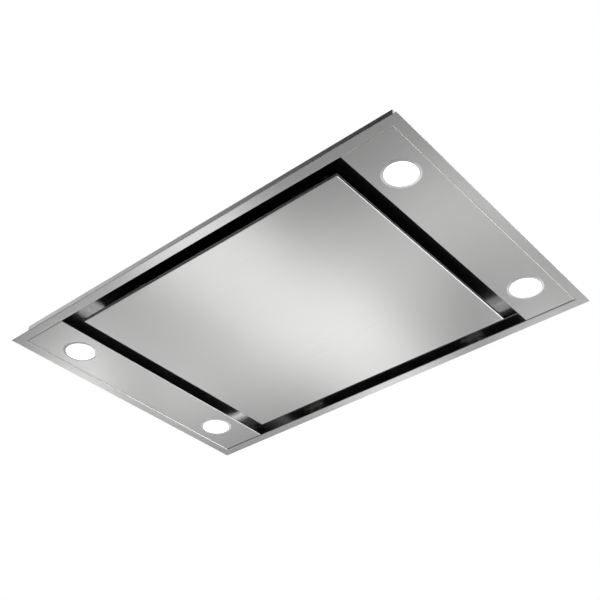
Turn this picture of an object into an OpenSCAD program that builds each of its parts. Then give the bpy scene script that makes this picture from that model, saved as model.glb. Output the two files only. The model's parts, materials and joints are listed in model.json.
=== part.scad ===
// Ceiling cassette hood with perimeter extraction.
// Origin: middle of the face, at the visible underside of the rim. +X along the long side, +Z up.

/* [Face frame] */
// Length of the visible face
face_l = 900; // [820:10:1100]
// Width of the visible face
face_w = 600; // [520:10:700]
// Visible width of the rim
rim_w = 20; // [15:1:30]
// Thickness of the hemmed rim
rim_t = 1.5; // [1:0.1:2.5]
// Thickness of the folded steel sheet
sheet_t = 1; // [0.8:0.1:1.2]
// Outer radius of the folds in the sheet
bend_r = 1.5; // [1.3:0.1:2]
// Height from the rim's underside to the top of the deck
recess_h = 35; // [33:1:45]
// Height of the deck's folded skirt
skirt_h = 10; // [6:1:14]

/* [Light panels] */
// Width of each light panel
light_w = 100; // [90:1:120]
// Step from the rim up to the light panel
light_set = 1; // [0.6:0.1:1.5]
// Gap between a light panel and the frame
seam = 1.2; // [0.8:0.1:2]
// Height of the light panel's folded lips
lip_h = 12; // [8:1:16]
// Width of the flange that meets the deck
light_flange_w = 14; // [10:1:18]

/* [Spots] */
// Distance of a spot from the long side of the face
spot_side = 110; // [80:1:150]
// Radius of the white lens
lens_r = 27.5; // [24:0.5:30]
// Width of the bezel round the lens
bezel_w = 5.5; // [4:0.5:7]
// Thickness of the lens
lens_t = 2.3; // [1.5:0.1:3]
// Thickness of the bezel's wall
barrel_t = 1.2; // [0.8:0.1:1.6]
// Length of the bezel's barrel above the light panel
barrel_h = 11; // [8:0.5:13]
// Height of the finned spot body
spot_body_h = 17; // [12:0.5:20]
// Number of slots between the fins
fin_slots = 6; // [3:1:8]
// Width of a slot between two fins
fin_slot_w = 3.2; // [2:0.1:4]
// Depth of the slots between the fins
fin_slot_h = 8; // [5:0.5:10]
// Reach of a spring clip from the barrel
clip_reach = 16; // [10:0.5:17]
// Width of a spring clip
clip_w = 9; // [6:0.5:12]
// Thickness of the clip's spring steel
clip_t = 0.8; // [0.5:0.1:1]

/* [Channel and panel] */
// Width of the suction channel round the panel
channel_w = 30; // [26:1:36]
// Step from the rim up to the panel's face
panel_set = 2; // [1:0.5:4]
// Height of the panel's edge
panel_h = 7; // [6:0.5:8]
// Thickness of the panel's closing sheet
back_t = 0.8; // [0.6:0.1:1]
// Inset of the closing sheet from the panel's edge
back_inset = 0.5; // [0.2:0.1:1]
// Distance of the corner relief from the panel's corner
notch_at = 11; // [8:1:16]
// Width of the corner relief
notch_w = 2; // [1:0.5:3]
// Height of a stiffening rib
rib_h = 5; // [3:0.5:6]
// Width of a rib's crown
rib_w = 20; // [12:1:30]
// Width of a rib's foot
rib_foot = 10; // [6:1:14]
// Distance of the ribs from the panel's long edges
rib_in = 140; // [100:5:190]
// Distance of the ribs' ends from the panel's short edges
rib_end = 50; // [30:5:100]

/* [Panel hinge] */
// Distance of the hinge axis from the panel's far edge
hinge_in = 10; // [9:0.5:14]
// Gap between a hinge's ear and the panel
ear_gap = 2.5; // [1.5:0.5:3.5]
// Distance of each hinge from the panel's short edge
hinge_end = 100; // [60:5:180]
// Radius of the hinge pin
pin_r = 2.5; // [2:0.1:3]
// Radial clearance of the pin
pin_gap = 0.05; // [0.02:0.01:0.08]
// Outer radius of the knuckle
knuckle_r = 4.5; // [4:0.1:5]
// Length of the knuckle
knuckle_l = 20; // [14:1:26]
// Thickness of the hinge steel
hinge_t = 2; // [1.5:0.1:2]
// Outer radius of the bracket's ear
ear_r = 6.5; // [6:0.1:6.8]
// Depth of the bracket's base
bracket_d = 34; // [26:1:38]
// Length of the leaf on the panel
leaf_l = 30; // [20:1:40]
// Overhang of the bracket's base past its ears
bracket_ledge = 12; // [8:1:16]

/* [Catches] */
// Distance of the catches from the panel's near edge
catch_in = 40; // [36:1:60]
// Length of a catch
catch_l = 40; // [30:1:50]
// Width of a catch
catch_w = 22; // [16:1:24]
// Height of a catch
catch_h = 17; // [14:0.5:18]
// Size of the magnet's face
magnet_w = 12; // [8:1:14]
// Thickness of the strike plate
strike_t = 1.5; // [1:0.1:2]

/* [Grease filters] */
// Thickness of a filter
filter_h = 9; // [8:0.5:10]
// Room between a filter's rail and the end wall
rail_end = 31; // [24:1:60]
// Gap between the rails of the two filters
rail_split = 2; // [1:0.5:6]
// Gap between a filter's rail and a spot driver
driver_gap = 2.4; // [1:0.1:8]
// Gap round a filter in the deck
filter_gap = 1; // [0.5:0.1:1.5]
// Visible width of the filter's channel frame
filter_edge = 14; // [10:1:18]
// Wall of the filter's channel frame
filter_wall = 2; // [1:0.1:2.5]
// Pitch of the mesh pleats
pleat_pitch = 8; // [6:0.5:12]
// Thickness of the mesh layers
mesh_t = 1.2; // [0.8:0.1:1.6]
// Room between a filter and the wall of its rail
rail_room = 7; // [6:0.5:8]
// Width of the rail's lip over the filter
rail_lip = 8; // [5:0.5:9]
// Travel of the filter latch
latch_travel = 6; // [4:0.5:6]
// Width of the latch plate
latch_w = 43; // [34:1:50]
// Length of the latch plate
latch_l = 27; // [22:1:32]
// Thickness of the latch plate
latch_t = 2; // [1.5:0.1:2.5]
// Reach of the latch bolt over the deck
bolt_reach = 5; // [3:0.5:5]
// Depth of the finger grip below the filter
grip_h = 7; // [4:0.5:8]
// Width of the finger grip
grip_w = 34; // [24:1:36]

/* [Housing] */
// Distance of the housing from the short side of the face
house_end = 170; // [140:2:180]
// Distance of the housing from the long side of the face
house_side = 80; // [66:2:90]
// Width of the housing's top
house_top_w = 296; // [260:2:340]
// Height of the housing's upright wall
house_low_h = 70; // [50:2:80]
// Height of the housing above the duct
duct_head = 7; // [5:0.5:16]
// Width of the housing's flange on the deck
house_flange = 22; // [16:1:26]
// Width of the end walls' folded flange
end_flange = 8; // [6:0.5:10]

/* [Hangers] */
// Distance of a hanger's inner rivet from the light panel's flange
hanger_gap = 7; // [6:0.5:9]
// Distance of the hangers from the recess wall
hanger_side = 45; // [36:1:50]
// Radius of the hanger's hole
hanger_hole_r = 4.5; // [3.5:0.5:5.5]
// Height of a hanger
hanger_h = 23; // [18:1:24]
// Length of the hanger's top
hanger_top = 36; // [28:1:40]
// Length of the hanger's feet
hanger_foot = 12; // [10:1:14]
// Width of a hanger
hanger_w = 28; // [20:1:30]
// Thickness of the hanger's steel
hanger_t = 2; // [1.5:0.1:3]

/* [Blower] */
// Gap between the scroll and the control box
blower_end = 34.8; // [10:0.1:50]
// Gap between the scroll and the edge of the housing's top
blower_side = 1.6; // [1:0.1:6]
// Impeller axis across the face
fan_y = -18; // [-20:1:-16]
// Gap above and below the impeller
fan_gap = 6; // [4:0.5:8]
// Radial depth of the blades
blade_d = 17; // [14:0.5:20]
// Number of blades
blades = 40; // [24:1:44]
// Thickness of a blade
blade_t = 1; // [0.8:0.1:1.2]
// Radius of a blade's curve
blade_curve_r = 11; // [10:0.5:14]
// Height of the blades
blade_h = 62; // [50:1:62]
// Thickness of the impeller's rings
ring_t = 2; // [1.5:0.1:2.5]
// Smallest gap between the impeller and the scroll's tongue
tongue_gap = 7; // [5:0.5:8]
// Growth of the scroll's radius from the tongue to the mouth
scroll_growth = 36; // [30:1:37]
// Angle of the tongue
tongue_a = 150; // [146:1:154]
// Wall of the scroll
scroll_t = 2; // [1.5:0.1:2.2]
// Distance from the impeller axis to the scroll's mouth
mouth_x = 155; // [150:1:160]
// Gap between the scroll's cover and the housing's top
blower_hang = 7; // [6:0.5:8]
// Gap between the inlet's throat and the blades
throat_gap = 8; // [5:0.5:14]
// Flare of the inlet's throat
inlet_flare = 8; // [5:0.5:12]
// Radius of the motor
motor_r = 44; // [38:1:46]
// Height of the motor
motor_h = 52; // [44:1:54]
// Radius of the motor shaft
shaft_r = 4; // [3:0.1:5]
// Lip of the motor bracket on the scroll's cover
bracket_lip = 14; // [8:1:18]
// Radius of the impeller's hub
hub_r = 11; // [9:0.5:14]

/* [Duct] */
// Outer radius of the duct collar
duct_r = 75; // [60:1:75]
// Wall of the duct collar
duct_t = 1.5; // [1:0.1:2]
// Gap between the duct's flange and the deck
duct_gap = 0.5; // [0.2:0.1:2]
// Duct axis across the face
duct_y = 40; // [36:1:44]
// Length of the collar outside the housing
collar_out = 60; // [40:1:80]
// Length of the collar inside the housing
collar_in = 14; // [12:0.5:16]
// Width of the collar's flange
collar_flange = 3.5; // [2.5:0.5:6]
// Distance from the end wall to the flap pin
flap_out = 10; // [8:0.5:14]
// Radius of the flap pin
flap_pin_r = 1.5; // [1.2:0.1:2]
// Thickness of a flap
flap_t = 1; // [0.8:0.1:1.5]
// Radius of a flap's knuckle
flap_knuckle_r = 3; // [2.6:0.1:3.5]
// Distance of a flap's outer knuckles from the collar
flap_end = 15; // [10:1:25]

/* [Electrics] */
// Width of the control box
ctrl_w = 190; // [160:5:200]
// Height of the control box
ctrl_h = 80; // [60:2:90]
// Depth of the control box
ctrl_d = 60; // [50:1:62]
// Height of the control box above the deck
ctrl_up = 27; // [20:1:30]
// Wall of the control box
ctrl_t = 1.2; // [1:0.1:1.5]
// Distance of a spot driver from the end wall
driver_end = 89; // [60:1:110]
// Length of a spot driver
driver_l = 92; // [70:1:110]
// Width of a spot driver
driver_w = 22; // [16:0.5:26]
// Height of a spot driver
driver_h = 20; // [16:0.5:24]
// Radius of the wiring
wire_r = 2.5; // [1.5:0.1:3]
// Distance outside the end wall where the spot leads turn
lead_turn = 30; // [20:1:40]
// Height of the spot leads above the deck
wire_up = 5.5; // [4.5:0.1:6]
// Radius of the motor capacitor
cap_r = 15; // [12:0.5:17]
// Length of the motor capacitor
cap_l = 62; // [50:1:70]
// Distance of the cable gland from the control box
gland_side = 30; // [16:1:40]
// Outer radius of the cable gland
gland_r = 10; // [8:0.5:12]
// Radius of the cable gland's bore
gland_bore_r = 4; // [3:0.5:5]

/* [Hidden] */
$fn = 64;

// Overrun of every cut
over = 1;
// Gap between pieces that lie on each other with room
clear = 0.3;
// Radial gap of a screw or rivet in its hole
fix_gap = 0.1;
// Radius and height of a screw head, and radius of its shank
screw_head_r = 3.6;
screw_head_h = 2;
screw_r = 1.9;
// Radius and height of a rivet head, and radius of its shank
rivet_head_r = 3.2;
rivet_head_h = 1;
rivet_r = 1.6;

// Recess inside the frame, deck and opening
recess_l = face_l - 2 * rim_w;
recess_w = face_w - 2 * rim_w;
deck_z = recess_h - sheet_t;
opening_x = recess_l / 2 - light_w;
panel_l = 2 * (opening_x - channel_w);
panel_w = recess_w - 2 * channel_w;
panel_top = panel_set + panel_h;

// Spots in the middle of the light panels, numbered from the left end of the near side
spot_x = recess_l / 2 - light_w / 2;
spot_y = face_w / 2 - spot_side;
spot_places = [for (side = [[-1, -1], [1, -1], [1, 1], [-1, 1]]) [side[0] * spot_x, side[1] * spot_y]];
bezel_r = lens_r + bezel_w;
lens_gap = 0.1;
lens_rim = 0.5;
barrel_r = lens_r + lens_gap + lens_rim + barrel_t;
lens_lip_t = 0.6;
lens_z = 0.5;
bead_share = 0.45;
bead_x = lens_r + bead_share * bezel_w;
bead_half = bead_x - lens_r - lens_gap;
bead_r = (bead_half ^ 2 + lens_z ^ 2) / (2 * lens_z);
spot_body_r = barrel_r - barrel_t - clear;
spot_body_z = lens_z + lens_t + clear;
relief_in = 10;
relief_r = 5;
relief_h = 3;
relief_y = spot_y + relief_in;
wire_z = recess_h + wire_up;
wire_hole_r = wire_r + 1;

// Panel ribs, hinge and catches
rib_y = panel_w / 2 - rib_in;
rib_l = panel_l - 2 * rib_end;
hinge_x = panel_l / 2 - hinge_end;
hinge_y = panel_w / 2 - hinge_in;
hinge_z = panel_top + ear_gap + ear_r;
ear_x = knuckle_l / 2 + clear;
pin_head = 1.5;
pin_head_r = pin_r + pin_head;
pin_head_t = 1.2;
catch_x = hinge_x;
catch_y = panel_w / 2 - catch_in;
strike_post = deck_z - catch_h - clear - panel_top;

// Housing
house_l = face_l - 2 * house_end;
house_w = face_w - 2 * house_side;
end_x = house_l / 2;
duct_up = duct_gap + collar_flange + duct_r;
house_h = duct_up + duct_r + duct_head;
house_z = recess_h;
house_top = house_z + house_h;
house_low = house_z + house_low_h;
slope_a = atan((house_w - house_top_w) / 2 / (house_top - house_low));

// Hangers between the light panels' flanges and the recess wall
hanger_rivet_x = hanger_top / 2 + hanger_foot / 2;
hanger_x = opening_x + light_flange_w + hanger_gap + hanger_rivet_x;
hanger_y = recess_w / 2 - hanger_side;

// Spot drivers along the housing's walls, and the height of their leads
driver_x = end_x - driver_end - driver_l / 2;
driver_y = house_w / 2 - sheet_t - 2 * clear - driver_w / 2;

// Filters and their rails, between the drivers and the end walls
rail_w = 2 * (driver_y - driver_w / 2 - driver_gap - sheet_t);
rail_l = end_x - rail_end - rail_split / 2 - 2 * sheet_t;
filter_l = rail_l - 2 * filter_gap - 2 * rail_room;
filter_w = rail_w - 2 * filter_gap - 2 * rail_room;
filter_x = rail_split / 2 + sheet_t + rail_l / 2;
filter_top = deck_z + filter_h;
latch_end = filter_w / 2 + bolt_reach;
latch_z = recess_h + clear;
pocket_room = 0.5;
grip_t = 3;
grip_in = 12;
pocket_y = latch_end - latch_l - latch_travel - pocket_room;
block_side = 8.5;
block_back = 6.5;
block_w = latch_w + 2 * block_side;
block_y = pocket_y - block_back;
lip_in = 2.5;
tab_w = 20;
tab_share = 0.3;

// Control box on the right end wall
ctrl_x = end_x - sheet_t - ctrl_d;
ctrl_z = recess_h + ctrl_up;

// Blower: its spiral grows from the tongue, past the near side, to the mouth
spiral_steps = 50;
mouth_a = 450;
near_a = 270;
right_a = 360;
near_growth = scroll_growth * (near_a - tongue_a) / (mouth_a - tongue_a);
dish_t = 2;
fan_r = house_top_w / 2 - blower_side - scroll_t - near_growth - tongue_gap + fan_y;
tongue_r = fan_r + tongue_gap;
fan_x = ctrl_x - blower_end - scroll_t - scroll_r(right_a);
inlet_r = fan_r - blade_d - throat_gap;
inlet_hole_r = inlet_r + inlet_flare;
scroll_h = blade_h + ring_t + dish_t + 2 * fan_gap + 2 * scroll_t;
scroll_top = house_top - sheet_t - blower_hang;
scroll_z = scroll_top - scroll_h;
cover_z = scroll_top - scroll_t;
mouth_end = fan_x - mouth_x;
mouth_y0 = fan_y + tongue_r * sin(tongue_a);
mouth_y1 = fan_y + tongue_r + scroll_growth;
blade_z = scroll_z + scroll_t + fan_gap;
fan_top = blade_z + ring_t + blade_h;
motor_gap = 6;
cup_r = motor_r + motor_gap;
motor_plate_r = cup_r + bracket_lip;
motor_z = scroll_top - motor_h;
cup_z = motor_z - motor_gap;
hub_h = 12;
lug_r = 6;
lug_h = 12;
mount_r = 5;
lug_angles = [230, 310, 380];
lug_mouth_share = 0.74;
lug_mouth_x = fan_x - lug_mouth_share * mouth_x;
tongue_tip = 3.9;
tongue_tip_a = asin(tongue_tip / tongue_r);

// Duct and flaps
duct_z = recess_h + duct_up;
collar_end = -end_x - collar_out;
collar_start = -end_x + collar_in;
flap_x = -end_x - flap_out;
flap_r = duct_r - duct_t - 2 * clear;
flap_slot = flap_knuckle_r + clear;
flap_knuckle_z = duct_r - flap_end;
flap_knuckle_l = flap_knuckle_z / 2;

// Electrics
board_t = 1.6;
board_edge = 5;
board_post = 10;
board_x = end_x - sheet_t - ctrl_t - board_post;
cap_gap = 4;
relay_l = 15;
relay_w = 18;
relay_h = 12;
relay_y = 8;
gland_y = ctrl_w / 2 + gland_side;
gland_up = 65;
gland_z = recess_h + gland_up;
motor_wire_x = ctrl_x + ctrl_d / 2;
motor_wire_gap = 0.7;
motor_wire_z = scroll_top + motor_wire_gap + wire_r;
plug_l = 22;
plug_w = 12;

// Screws and rivets
corner_screw_in = 16;
corner_screws = [
  for (sx = [-1, 1], sy = [-1, 1])
    [sx * (end_x - corner_screw_in), sy * (house_w / 2 + house_flange / 2)]
];
light_screw_x = opening_x + light_flange_w / 2 + sheet_t / 2;
light_screw_shares = [-0.3, -0.1, 0.1, 0.3];
light_screw_ys = light_screw_shares * recess_w;
rivet_x = end_x - sheet_t - end_flange / 2;
top_rivet_shares = [-0.3, 0, 0.3];
side_rivet_shares = [0.35, 0.8];

steel = "#b9b9b7";
mirror_steel = "#8d8d8b";
dark = "#2a2a2b";
zinc = "#a9adb0";
alu = "#c4c6c8";
plastic = "#3b3d40";
rubber = "#1e1e1e";

// Block between two opposite corners
module block(lo, hi) translate(lo) cube(hi - lo);

// Flat plate centred on the axis, between two heights
module plate(l, w, z0, z1) block([-l / 2, -w / 2, z0], [l / 2, w / 2, z1]);

// Upright wall of thickness t inside the outline l by w
module wall_ring(l, w, t, z0, z1)
  difference() {
    plate(l, w, z0, z1);
    plate(l - 2 * t, w - 2 * t, z0 - over, z1 + over);
  }

// Upright cylinder between two heights
module post(r, z0, z1) translate([0, 0, z0]) cylinder(r = r, h = z1 - z0);

// Cylinder along X between two places
module bar_x(r, x0, x1) translate([x0, 0, 0]) rotate([0, 90, 0]) cylinder(r = r, h = x1 - x0);

// Outline in Y and Z, drawn out along X between two places
module along_x(x0, x1) translate([x0, 0, 0]) rotate([90, 0, 90]) linear_extrude(x1 - x0) children();

// Outline in X and Z, drawn out along Y between two places
module along_y(y0, y1) translate([0, y1, 0]) rotate([90, 0, 0]) linear_extrude(y1 - y0) children();

// Outline of half width h between two heights, its lower corners rounded by r
module bent_outline(h, z0, z1, r) {
  translate([-h + r, z0]) square([2 * (h - r), z1 - z0]);
  translate([-h, z0 + r]) square([2 * h, z1 - z0 - r]);
  for (s = [-1, 1])
    translate([s * (h - r), z0 + r]) circle(r);
}

// Block between two heights whose four lower edges are bent with radius r
module bent_block(l, w, z0, z1, r)
  intersection() {
    along_x(-l / 2 - over, l / 2 + over) bent_outline(w / 2, z0, z1, r);
    along_y(-w / 2 - over, w / 2 + over) bent_outline(l / 2, z0, z1, r);
  }

// Open tray folded from sheet of thickness t, outline l by w
module bent_tray(l, w, t, z0, z1)
  difference() {
    bent_block(l, w, z0, z1, bend_r);
    bent_block(l - 2 * t, w - 2 * t, z0 + t, z1 + over, bend_r - t);
  }

// Outline of half width h up to z1 that flares out by r at its foot
module flared_outline(h, z1, r) {
  translate([-h, -over]) square([2 * h, z1 + over]);
  difference() {
    translate([-h - r, -over]) square([2 * (h + r), over + r]);
    for (s = [-1, 1])
      translate([s * (h + r), r]) circle(r);
  }
}

// Copy for the left end of the hood
module at_end(side) if (side < 0) mirror([1, 0, 0]) children(); else children();

// Face frame: hemmed rim and upright wall, bent from one sheet round the recess
module face_frame()
  color(steel)
  difference() {
    union() {
      bent_block(face_l, face_w, 0, rim_t, rim_t / 2);
      plate(recess_l + 2 * sheet_t, recess_w + 2 * sheet_t, rim_t / 2, recess_h);
    }
    intersection() {
      along_x(-face_l / 2, face_l / 2) flared_outline(recess_w / 2, recess_h + over, rim_t);
      along_y(-face_w / 2, face_w / 2) flared_outline(recess_l / 2, recess_h + over, rim_t);
    }
  }

// Light panel of the right end; the left one is its mirror image
module light_panel(side) {
  x1 = recess_l / 2 - seam;
  y1 = recess_w / 2 - seam;
  face_z = light_set + sheet_t;
  color(steel)
  at_end(side)
  difference() {
    union() {
      translate([(opening_x + x1) / 2, 0, 0])
        bent_tray(x1 - opening_x, 2 * y1, sheet_t, light_set, light_set + lip_h);
      block([opening_x, -y1, light_set + bend_r], [opening_x + sheet_t, y1, deck_z]);
      block([opening_x, -y1, deck_z - sheet_t], [opening_x + light_flange_w, y1, deck_z]);
    }
    for (s = [-1, 1])
      translate([spot_x, s * spot_y, 0]) post(barrel_r + clear, light_set - over, face_z + over);
    for (y = light_screw_ys)
      translate([light_screw_x, y, 0]) post(screw_r + fix_gap, deck_z - 2 * sheet_t, deck_z + over);
  }
}

// Recess deck with its folded skirt and all its openings
module recess_deck()
  color(mirror_steel)
  difference() {
    union() {
      plate(recess_l, recess_w, deck_z, recess_h);
      wall_ring(recess_l, recess_w, sheet_t, recess_h - skirt_h, recess_h);
    }
    for (s = [-1, 1]) {
      translate([s * filter_x, 0, 0])
        plate(filter_l + 2 * filter_gap, filter_w + 2 * filter_gap, deck_z - over, recess_h + over);
      for (y = light_screw_ys)
        translate([s * light_screw_x, y, 0]) post(screw_r + fix_gap, deck_z - over, recess_h + over);
    }
    for (p = spot_places)
      translate([p[0], sign(p[1]) * relief_y, 0]) post(wire_hole_r, deck_z - over, recess_h + over);
    for (p = corner_screws)
      translate([p[0], p[1], 0]) post(screw_r + fix_gap, deck_z - over, recess_h + over);
    hanger_rivet_holes(deck_z, recess_h);
  }

// Central panel: brushed tray with folded edges
module panel_face()
  color(steel) bent_tray(panel_l, panel_w, sheet_t, panel_set, panel_top - back_t);

// Sheet that closes the panel's back, relieved beside its corners
module panel_back()
  color(dark)
  difference() {
    plate(panel_l - 2 * back_inset, panel_w - 2 * back_inset, panel_top - back_t, panel_top);
    for (sx = [-1, 1], sy = [-1, 1])
      translate([sx * panel_l / 2, sy * (panel_w / 2 - notch_at), 0])
        plate(2 * (back_inset + sheet_t), notch_w, panel_top - back_t - over, panel_top + over);
  }

// Two hat-section ribs on the panel's back
module panel_ribs() {
  foot = rib_w / 2 + rib_foot;
  crown = rib_w / 2;
  color(zinc)
  for (s = [-1, 1])
    translate([0, s * rib_y, panel_top])
      along_x(-rib_l / 2, rib_l / 2)
        polygon([
          [-foot, 0], [-crown + sheet_t, 0], [-crown + sheet_t, rib_h - sheet_t],
          [crown - sheet_t, rib_h - sheet_t], [crown - sheet_t, 0], [foot, 0],
          [foot, sheet_t], [crown, sheet_t], [crown, rib_h],
          [-crown, rib_h], [-crown, sheet_t], [-foot, sheet_t]
        ]);
}

// Hinge bracket under the deck: base and two ears
module hinge_bracket(side)
  color(zinc)
  translate([side * hinge_x, hinge_y, 0])
  difference() {
    union() {
      plate(2 * (ear_x + hinge_t + bracket_ledge), bracket_d, deck_z - hinge_t, deck_z);
      for (s = [-1, 1])
        translate([s * (ear_x + hinge_t / 2) - hinge_t / 2, 0, 0]) {
          block([0, -ear_r, hinge_z], [hinge_t, ear_r, deck_z]);
          translate([0, 0, hinge_z]) bar_x(ear_r, 0, hinge_t);
        }
    }
    translate([0, 0, hinge_z]) bar_x(pin_r + pin_gap, -ear_x - hinge_t - over, ear_x + hinge_t + over);
  }

// Hinge leaf on the panel's back: foot, arm and knuckle
module hinge_leaf(side) {
  arm_y = ear_r + 2 * hinge_t;
  color(zinc)
  translate([side * hinge_x, hinge_y, 0])
  difference() {
    union() {
      block([-knuckle_l, -arm_y - leaf_l, panel_top], [knuckle_l, -arm_y + hinge_t, panel_top + hinge_t]);
      block([-knuckle_l / 2, -arm_y, panel_top], [knuckle_l / 2, -arm_y + hinge_t, hinge_z + knuckle_r]);
      block([-knuckle_l / 2, -arm_y, hinge_z + knuckle_r - hinge_t],
            [knuckle_l / 2, 0, hinge_z + knuckle_r]);
      translate([0, 0, hinge_z]) bar_x(knuckle_r, -knuckle_l / 2, knuckle_l / 2);
    }
    translate([0, 0, hinge_z]) bar_x(pin_r + pin_gap, -knuckle_l / 2 - over, knuckle_l / 2 + over);
  }
}

// Two headed hinge pins
module hinge_pins()
  color(alu)
  for (s = [-1, 1])
    translate([s * hinge_x, hinge_y, hinge_z]) {
      half = ear_x + hinge_t + clear;
      bar_x(pin_r, -half, half);
      bar_x(pin_head_r, half, half + pin_head_t);
      bar_x(pin_head_r, -half - pin_head_t, -half);
    }

// Two magnetic catches under the deck
module magnet_catches()
  color(plastic)
  for (s = [-1, 1])
    translate([s * catch_x, -catch_y, 0]) {
      difference() {
        plate(catch_l, catch_w, deck_z - catch_h + hinge_t, deck_z);
        plate(magnet_w, catch_w + 2 * over, deck_z - catch_h, deck_z - catch_h / 2);
      }
      plate(magnet_w, catch_w - 2 * hinge_t, deck_z - catch_h, deck_z - catch_h / 2);
    }

// Steel plates on the panel that the magnets hold
module strike_plates()
  color(zinc)
  for (s = [-1, 1])
    translate([s * catch_x, -catch_y, panel_top]) {
      plate(catch_l, catch_w, 0, strike_t);
      plate(magnet_w + 2 * strike_t, catch_w, 0, strike_post);
    }

// Spot bezel: rounded bead under the light panel, lip for the lens, and barrel through the hole
module spot_bezel(i) {
  lens_edge = lens_r + lens_gap;
  barrel_in = barrel_r - barrel_t;
  lip_top = lens_z + lens_lip_t;
  color(alu)
  translate([spot_places[i - 1][0], spot_places[i - 1][1], 0])
    rotate_extrude() {
      intersection() {
        translate([bead_x, bead_r]) circle(bead_r);
        translate([lens_edge, 0]) square([bezel_r - lens_edge, light_set]);
      }
      translate([lens_edge, lens_z]) square([barrel_r - lens_edge, lens_lip_t]);
      translate([barrel_in, lip_top]) square([barrel_t, light_set + barrel_h - lip_top]);
    }
}

// Spot lens: stepped disc that lies on the bezel's inner lip
module spot_lens(i)
  color("white")
  translate([spot_places[i - 1][0], spot_places[i - 1][1], 0]) {
    post(lens_r, lens_z, lens_z + lens_t);
    post(barrel_r - barrel_t - lens_gap, lens_z + lens_lip_t + lens_gap, lens_z + lens_t);
  }

// Spot body: turned heat sink with milled slots and a strain relief
module spot_body(i) {
  top = spot_body_z + spot_body_h;
  place = spot_places[i - 1];
  slot_pitch = 2 * spot_body_r / (fin_slots + 1);
  color(alu)
  translate([place[0], place[1], 0]) {
    difference() {
      post(spot_body_r, spot_body_z, top);
      for (k = [1 : fin_slots])
        translate([-spot_body_r + k * slot_pitch, 0, 0])
          plate(fin_slot_w, 2 * spot_body_r + 2 * over, top - fin_slot_h, top + over);
    }
    translate([0, sign(place[1]) * relief_in, 0])
      post(relief_r, top - fin_slot_h, top + relief_h);
  }
}

// Eight bent leaf springs that hold the spots in the light panels
module spot_clips() {
  z0 = light_set + sheet_t + clear;
  z1 = light_set + barrel_h;
  r0 = barrel_r + clear / 2;
  r1 = barrel_r + clip_reach;
  color(zinc)
  for (p = spot_places, s = [90, 270])
    translate([p[0], p[1], 0])
      rotate([0, 0, s])
        translate([0, clip_w / 2, 0])
          rotate([90, 0, 0])
            linear_extrude(clip_w)
              polygon([
                [r0, z1], [r0, z1 / 2], [r0 + clip_t, z1 / 2], [r0 + clip_t, z1 - 2 * clip_t],
                [r1 - 3 * clip_t, z0], [r1, z0], [r1, z0 + clip_t], [r1 - 2 * clip_t, z0 + clip_t],
                [r0 + 2 * clip_t, z1]
              ]);
}

// Filter frame: folded channel with a latch pocket and two fixed tabs
module filter_frame(side) {
  wall = filter_wall;
  color(alu)
  translate([side * filter_x, 0, 0]) {
    difference() {
      union() {
        difference() {
          plate(filter_l, filter_w, deck_z, filter_top);
          plate(filter_l - 2 * filter_edge, filter_w - 2 * filter_edge, deck_z - over, filter_top + over);
          plate(filter_l - 2 * wall, filter_w - 2 * wall, deck_z + wall / 2, filter_top - wall / 2);
        }
        block([-block_w / 2, -filter_w / 2, deck_z], [block_w / 2, -block_y, filter_top]);
      }
      block([-latch_w / 2 - pocket_room, -filter_w / 2 - over, latch_z - clear / 2],
            [latch_w / 2 + pocket_room, -pocket_y, latch_z + latch_t + clear]);
      block([-latch_w / 2 + lip_in, -filter_w / 2 - over, deck_z - over],
            [latch_w / 2 - lip_in, -pocket_y, latch_z + latch_t + clear]);
    }
    for (s = [-1, 1])
      translate([s * tab_share * filter_l, 0, 0])
        block([-tab_w / 2, filter_w / 2 - wall, latch_z], [tab_w / 2, latch_end, latch_z + latch_t]);
  }
}

// Pleated mesh that the filter frame holds
module filter_mesh(side) {
  z0 = deck_z + filter_wall / 2 + clear;
  z1 = filter_top - filter_wall / 2 - clear - mesh_t;
  half_l = filter_l / 2 - filter_wall - clear;
  half_w = filter_w / 2 - filter_wall - clear;
  folds = floor(2 * half_l / pleat_pitch);
  step = 2 * half_l / folds;
  line = [for (k = [0 : folds]) [-half_l + k * step, k % 2 == 0 ? z0 : z1]];
  color(zinc)
  translate([side * filter_x, 0, 0])
  difference() {
    translate([0, half_w, 0])
      rotate([90, 0, 0])
        linear_extrude(2 * half_w)
          polygon(concat(line, [for (k = [folds : -1 : 0]) line[k] + [0, mesh_t]]));
    block([-block_w / 2 - clear, -filter_w / 2 - over, deck_z - over],
          [block_w / 2 + clear, -block_y + clear, filter_top + over]);
  }
}

// Filter latch: bolt plate with a finger grip
module filter_latch(side)
  color(plastic)
  translate([side * filter_x, 0, 0]) {
    block([-latch_w / 2, -latch_end, latch_z], [latch_w / 2, -latch_end + latch_l, latch_z + latch_t]);
    block([-grip_w / 2, -latch_end + grip_in, deck_z - grip_h],
          [grip_w / 2, -latch_end + grip_in + grip_t, latch_z + latch_t]);
  }

// Folded rails on the deck that the filters seat against
module filter_rails()
  color(zinc)
  for (s = [-1, 1])
    translate([s * filter_x, 0, 0]) {
      wall_ring(rail_l + 2 * sheet_t, rail_w + 2 * sheet_t, sheet_t, recess_h, filter_top + sheet_t);
      difference() {
        plate(rail_l + 2 * sheet_t, rail_w + 2 * sheet_t, filter_top, filter_top + sheet_t);
        plate(filter_l - 2 * rail_lip, filter_w - 2 * rail_lip,
              filter_top - over, filter_top + sheet_t + over);
      }
    }

// Housing cross-section in Y and Z, set in by t, with its foot at z0
function house_outline(t, z0) =
  let (
    low = house_w / 2 - t,
    knee = house_low - t * tan(slope_a / 2),
    top = house_top_w / 2 - t * tan((90 - slope_a) / 2)
  )
  [[-low, z0], [low, z0], [low, knee], [top, house_top - t], [-top, house_top - t], [-low, knee]];

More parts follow.
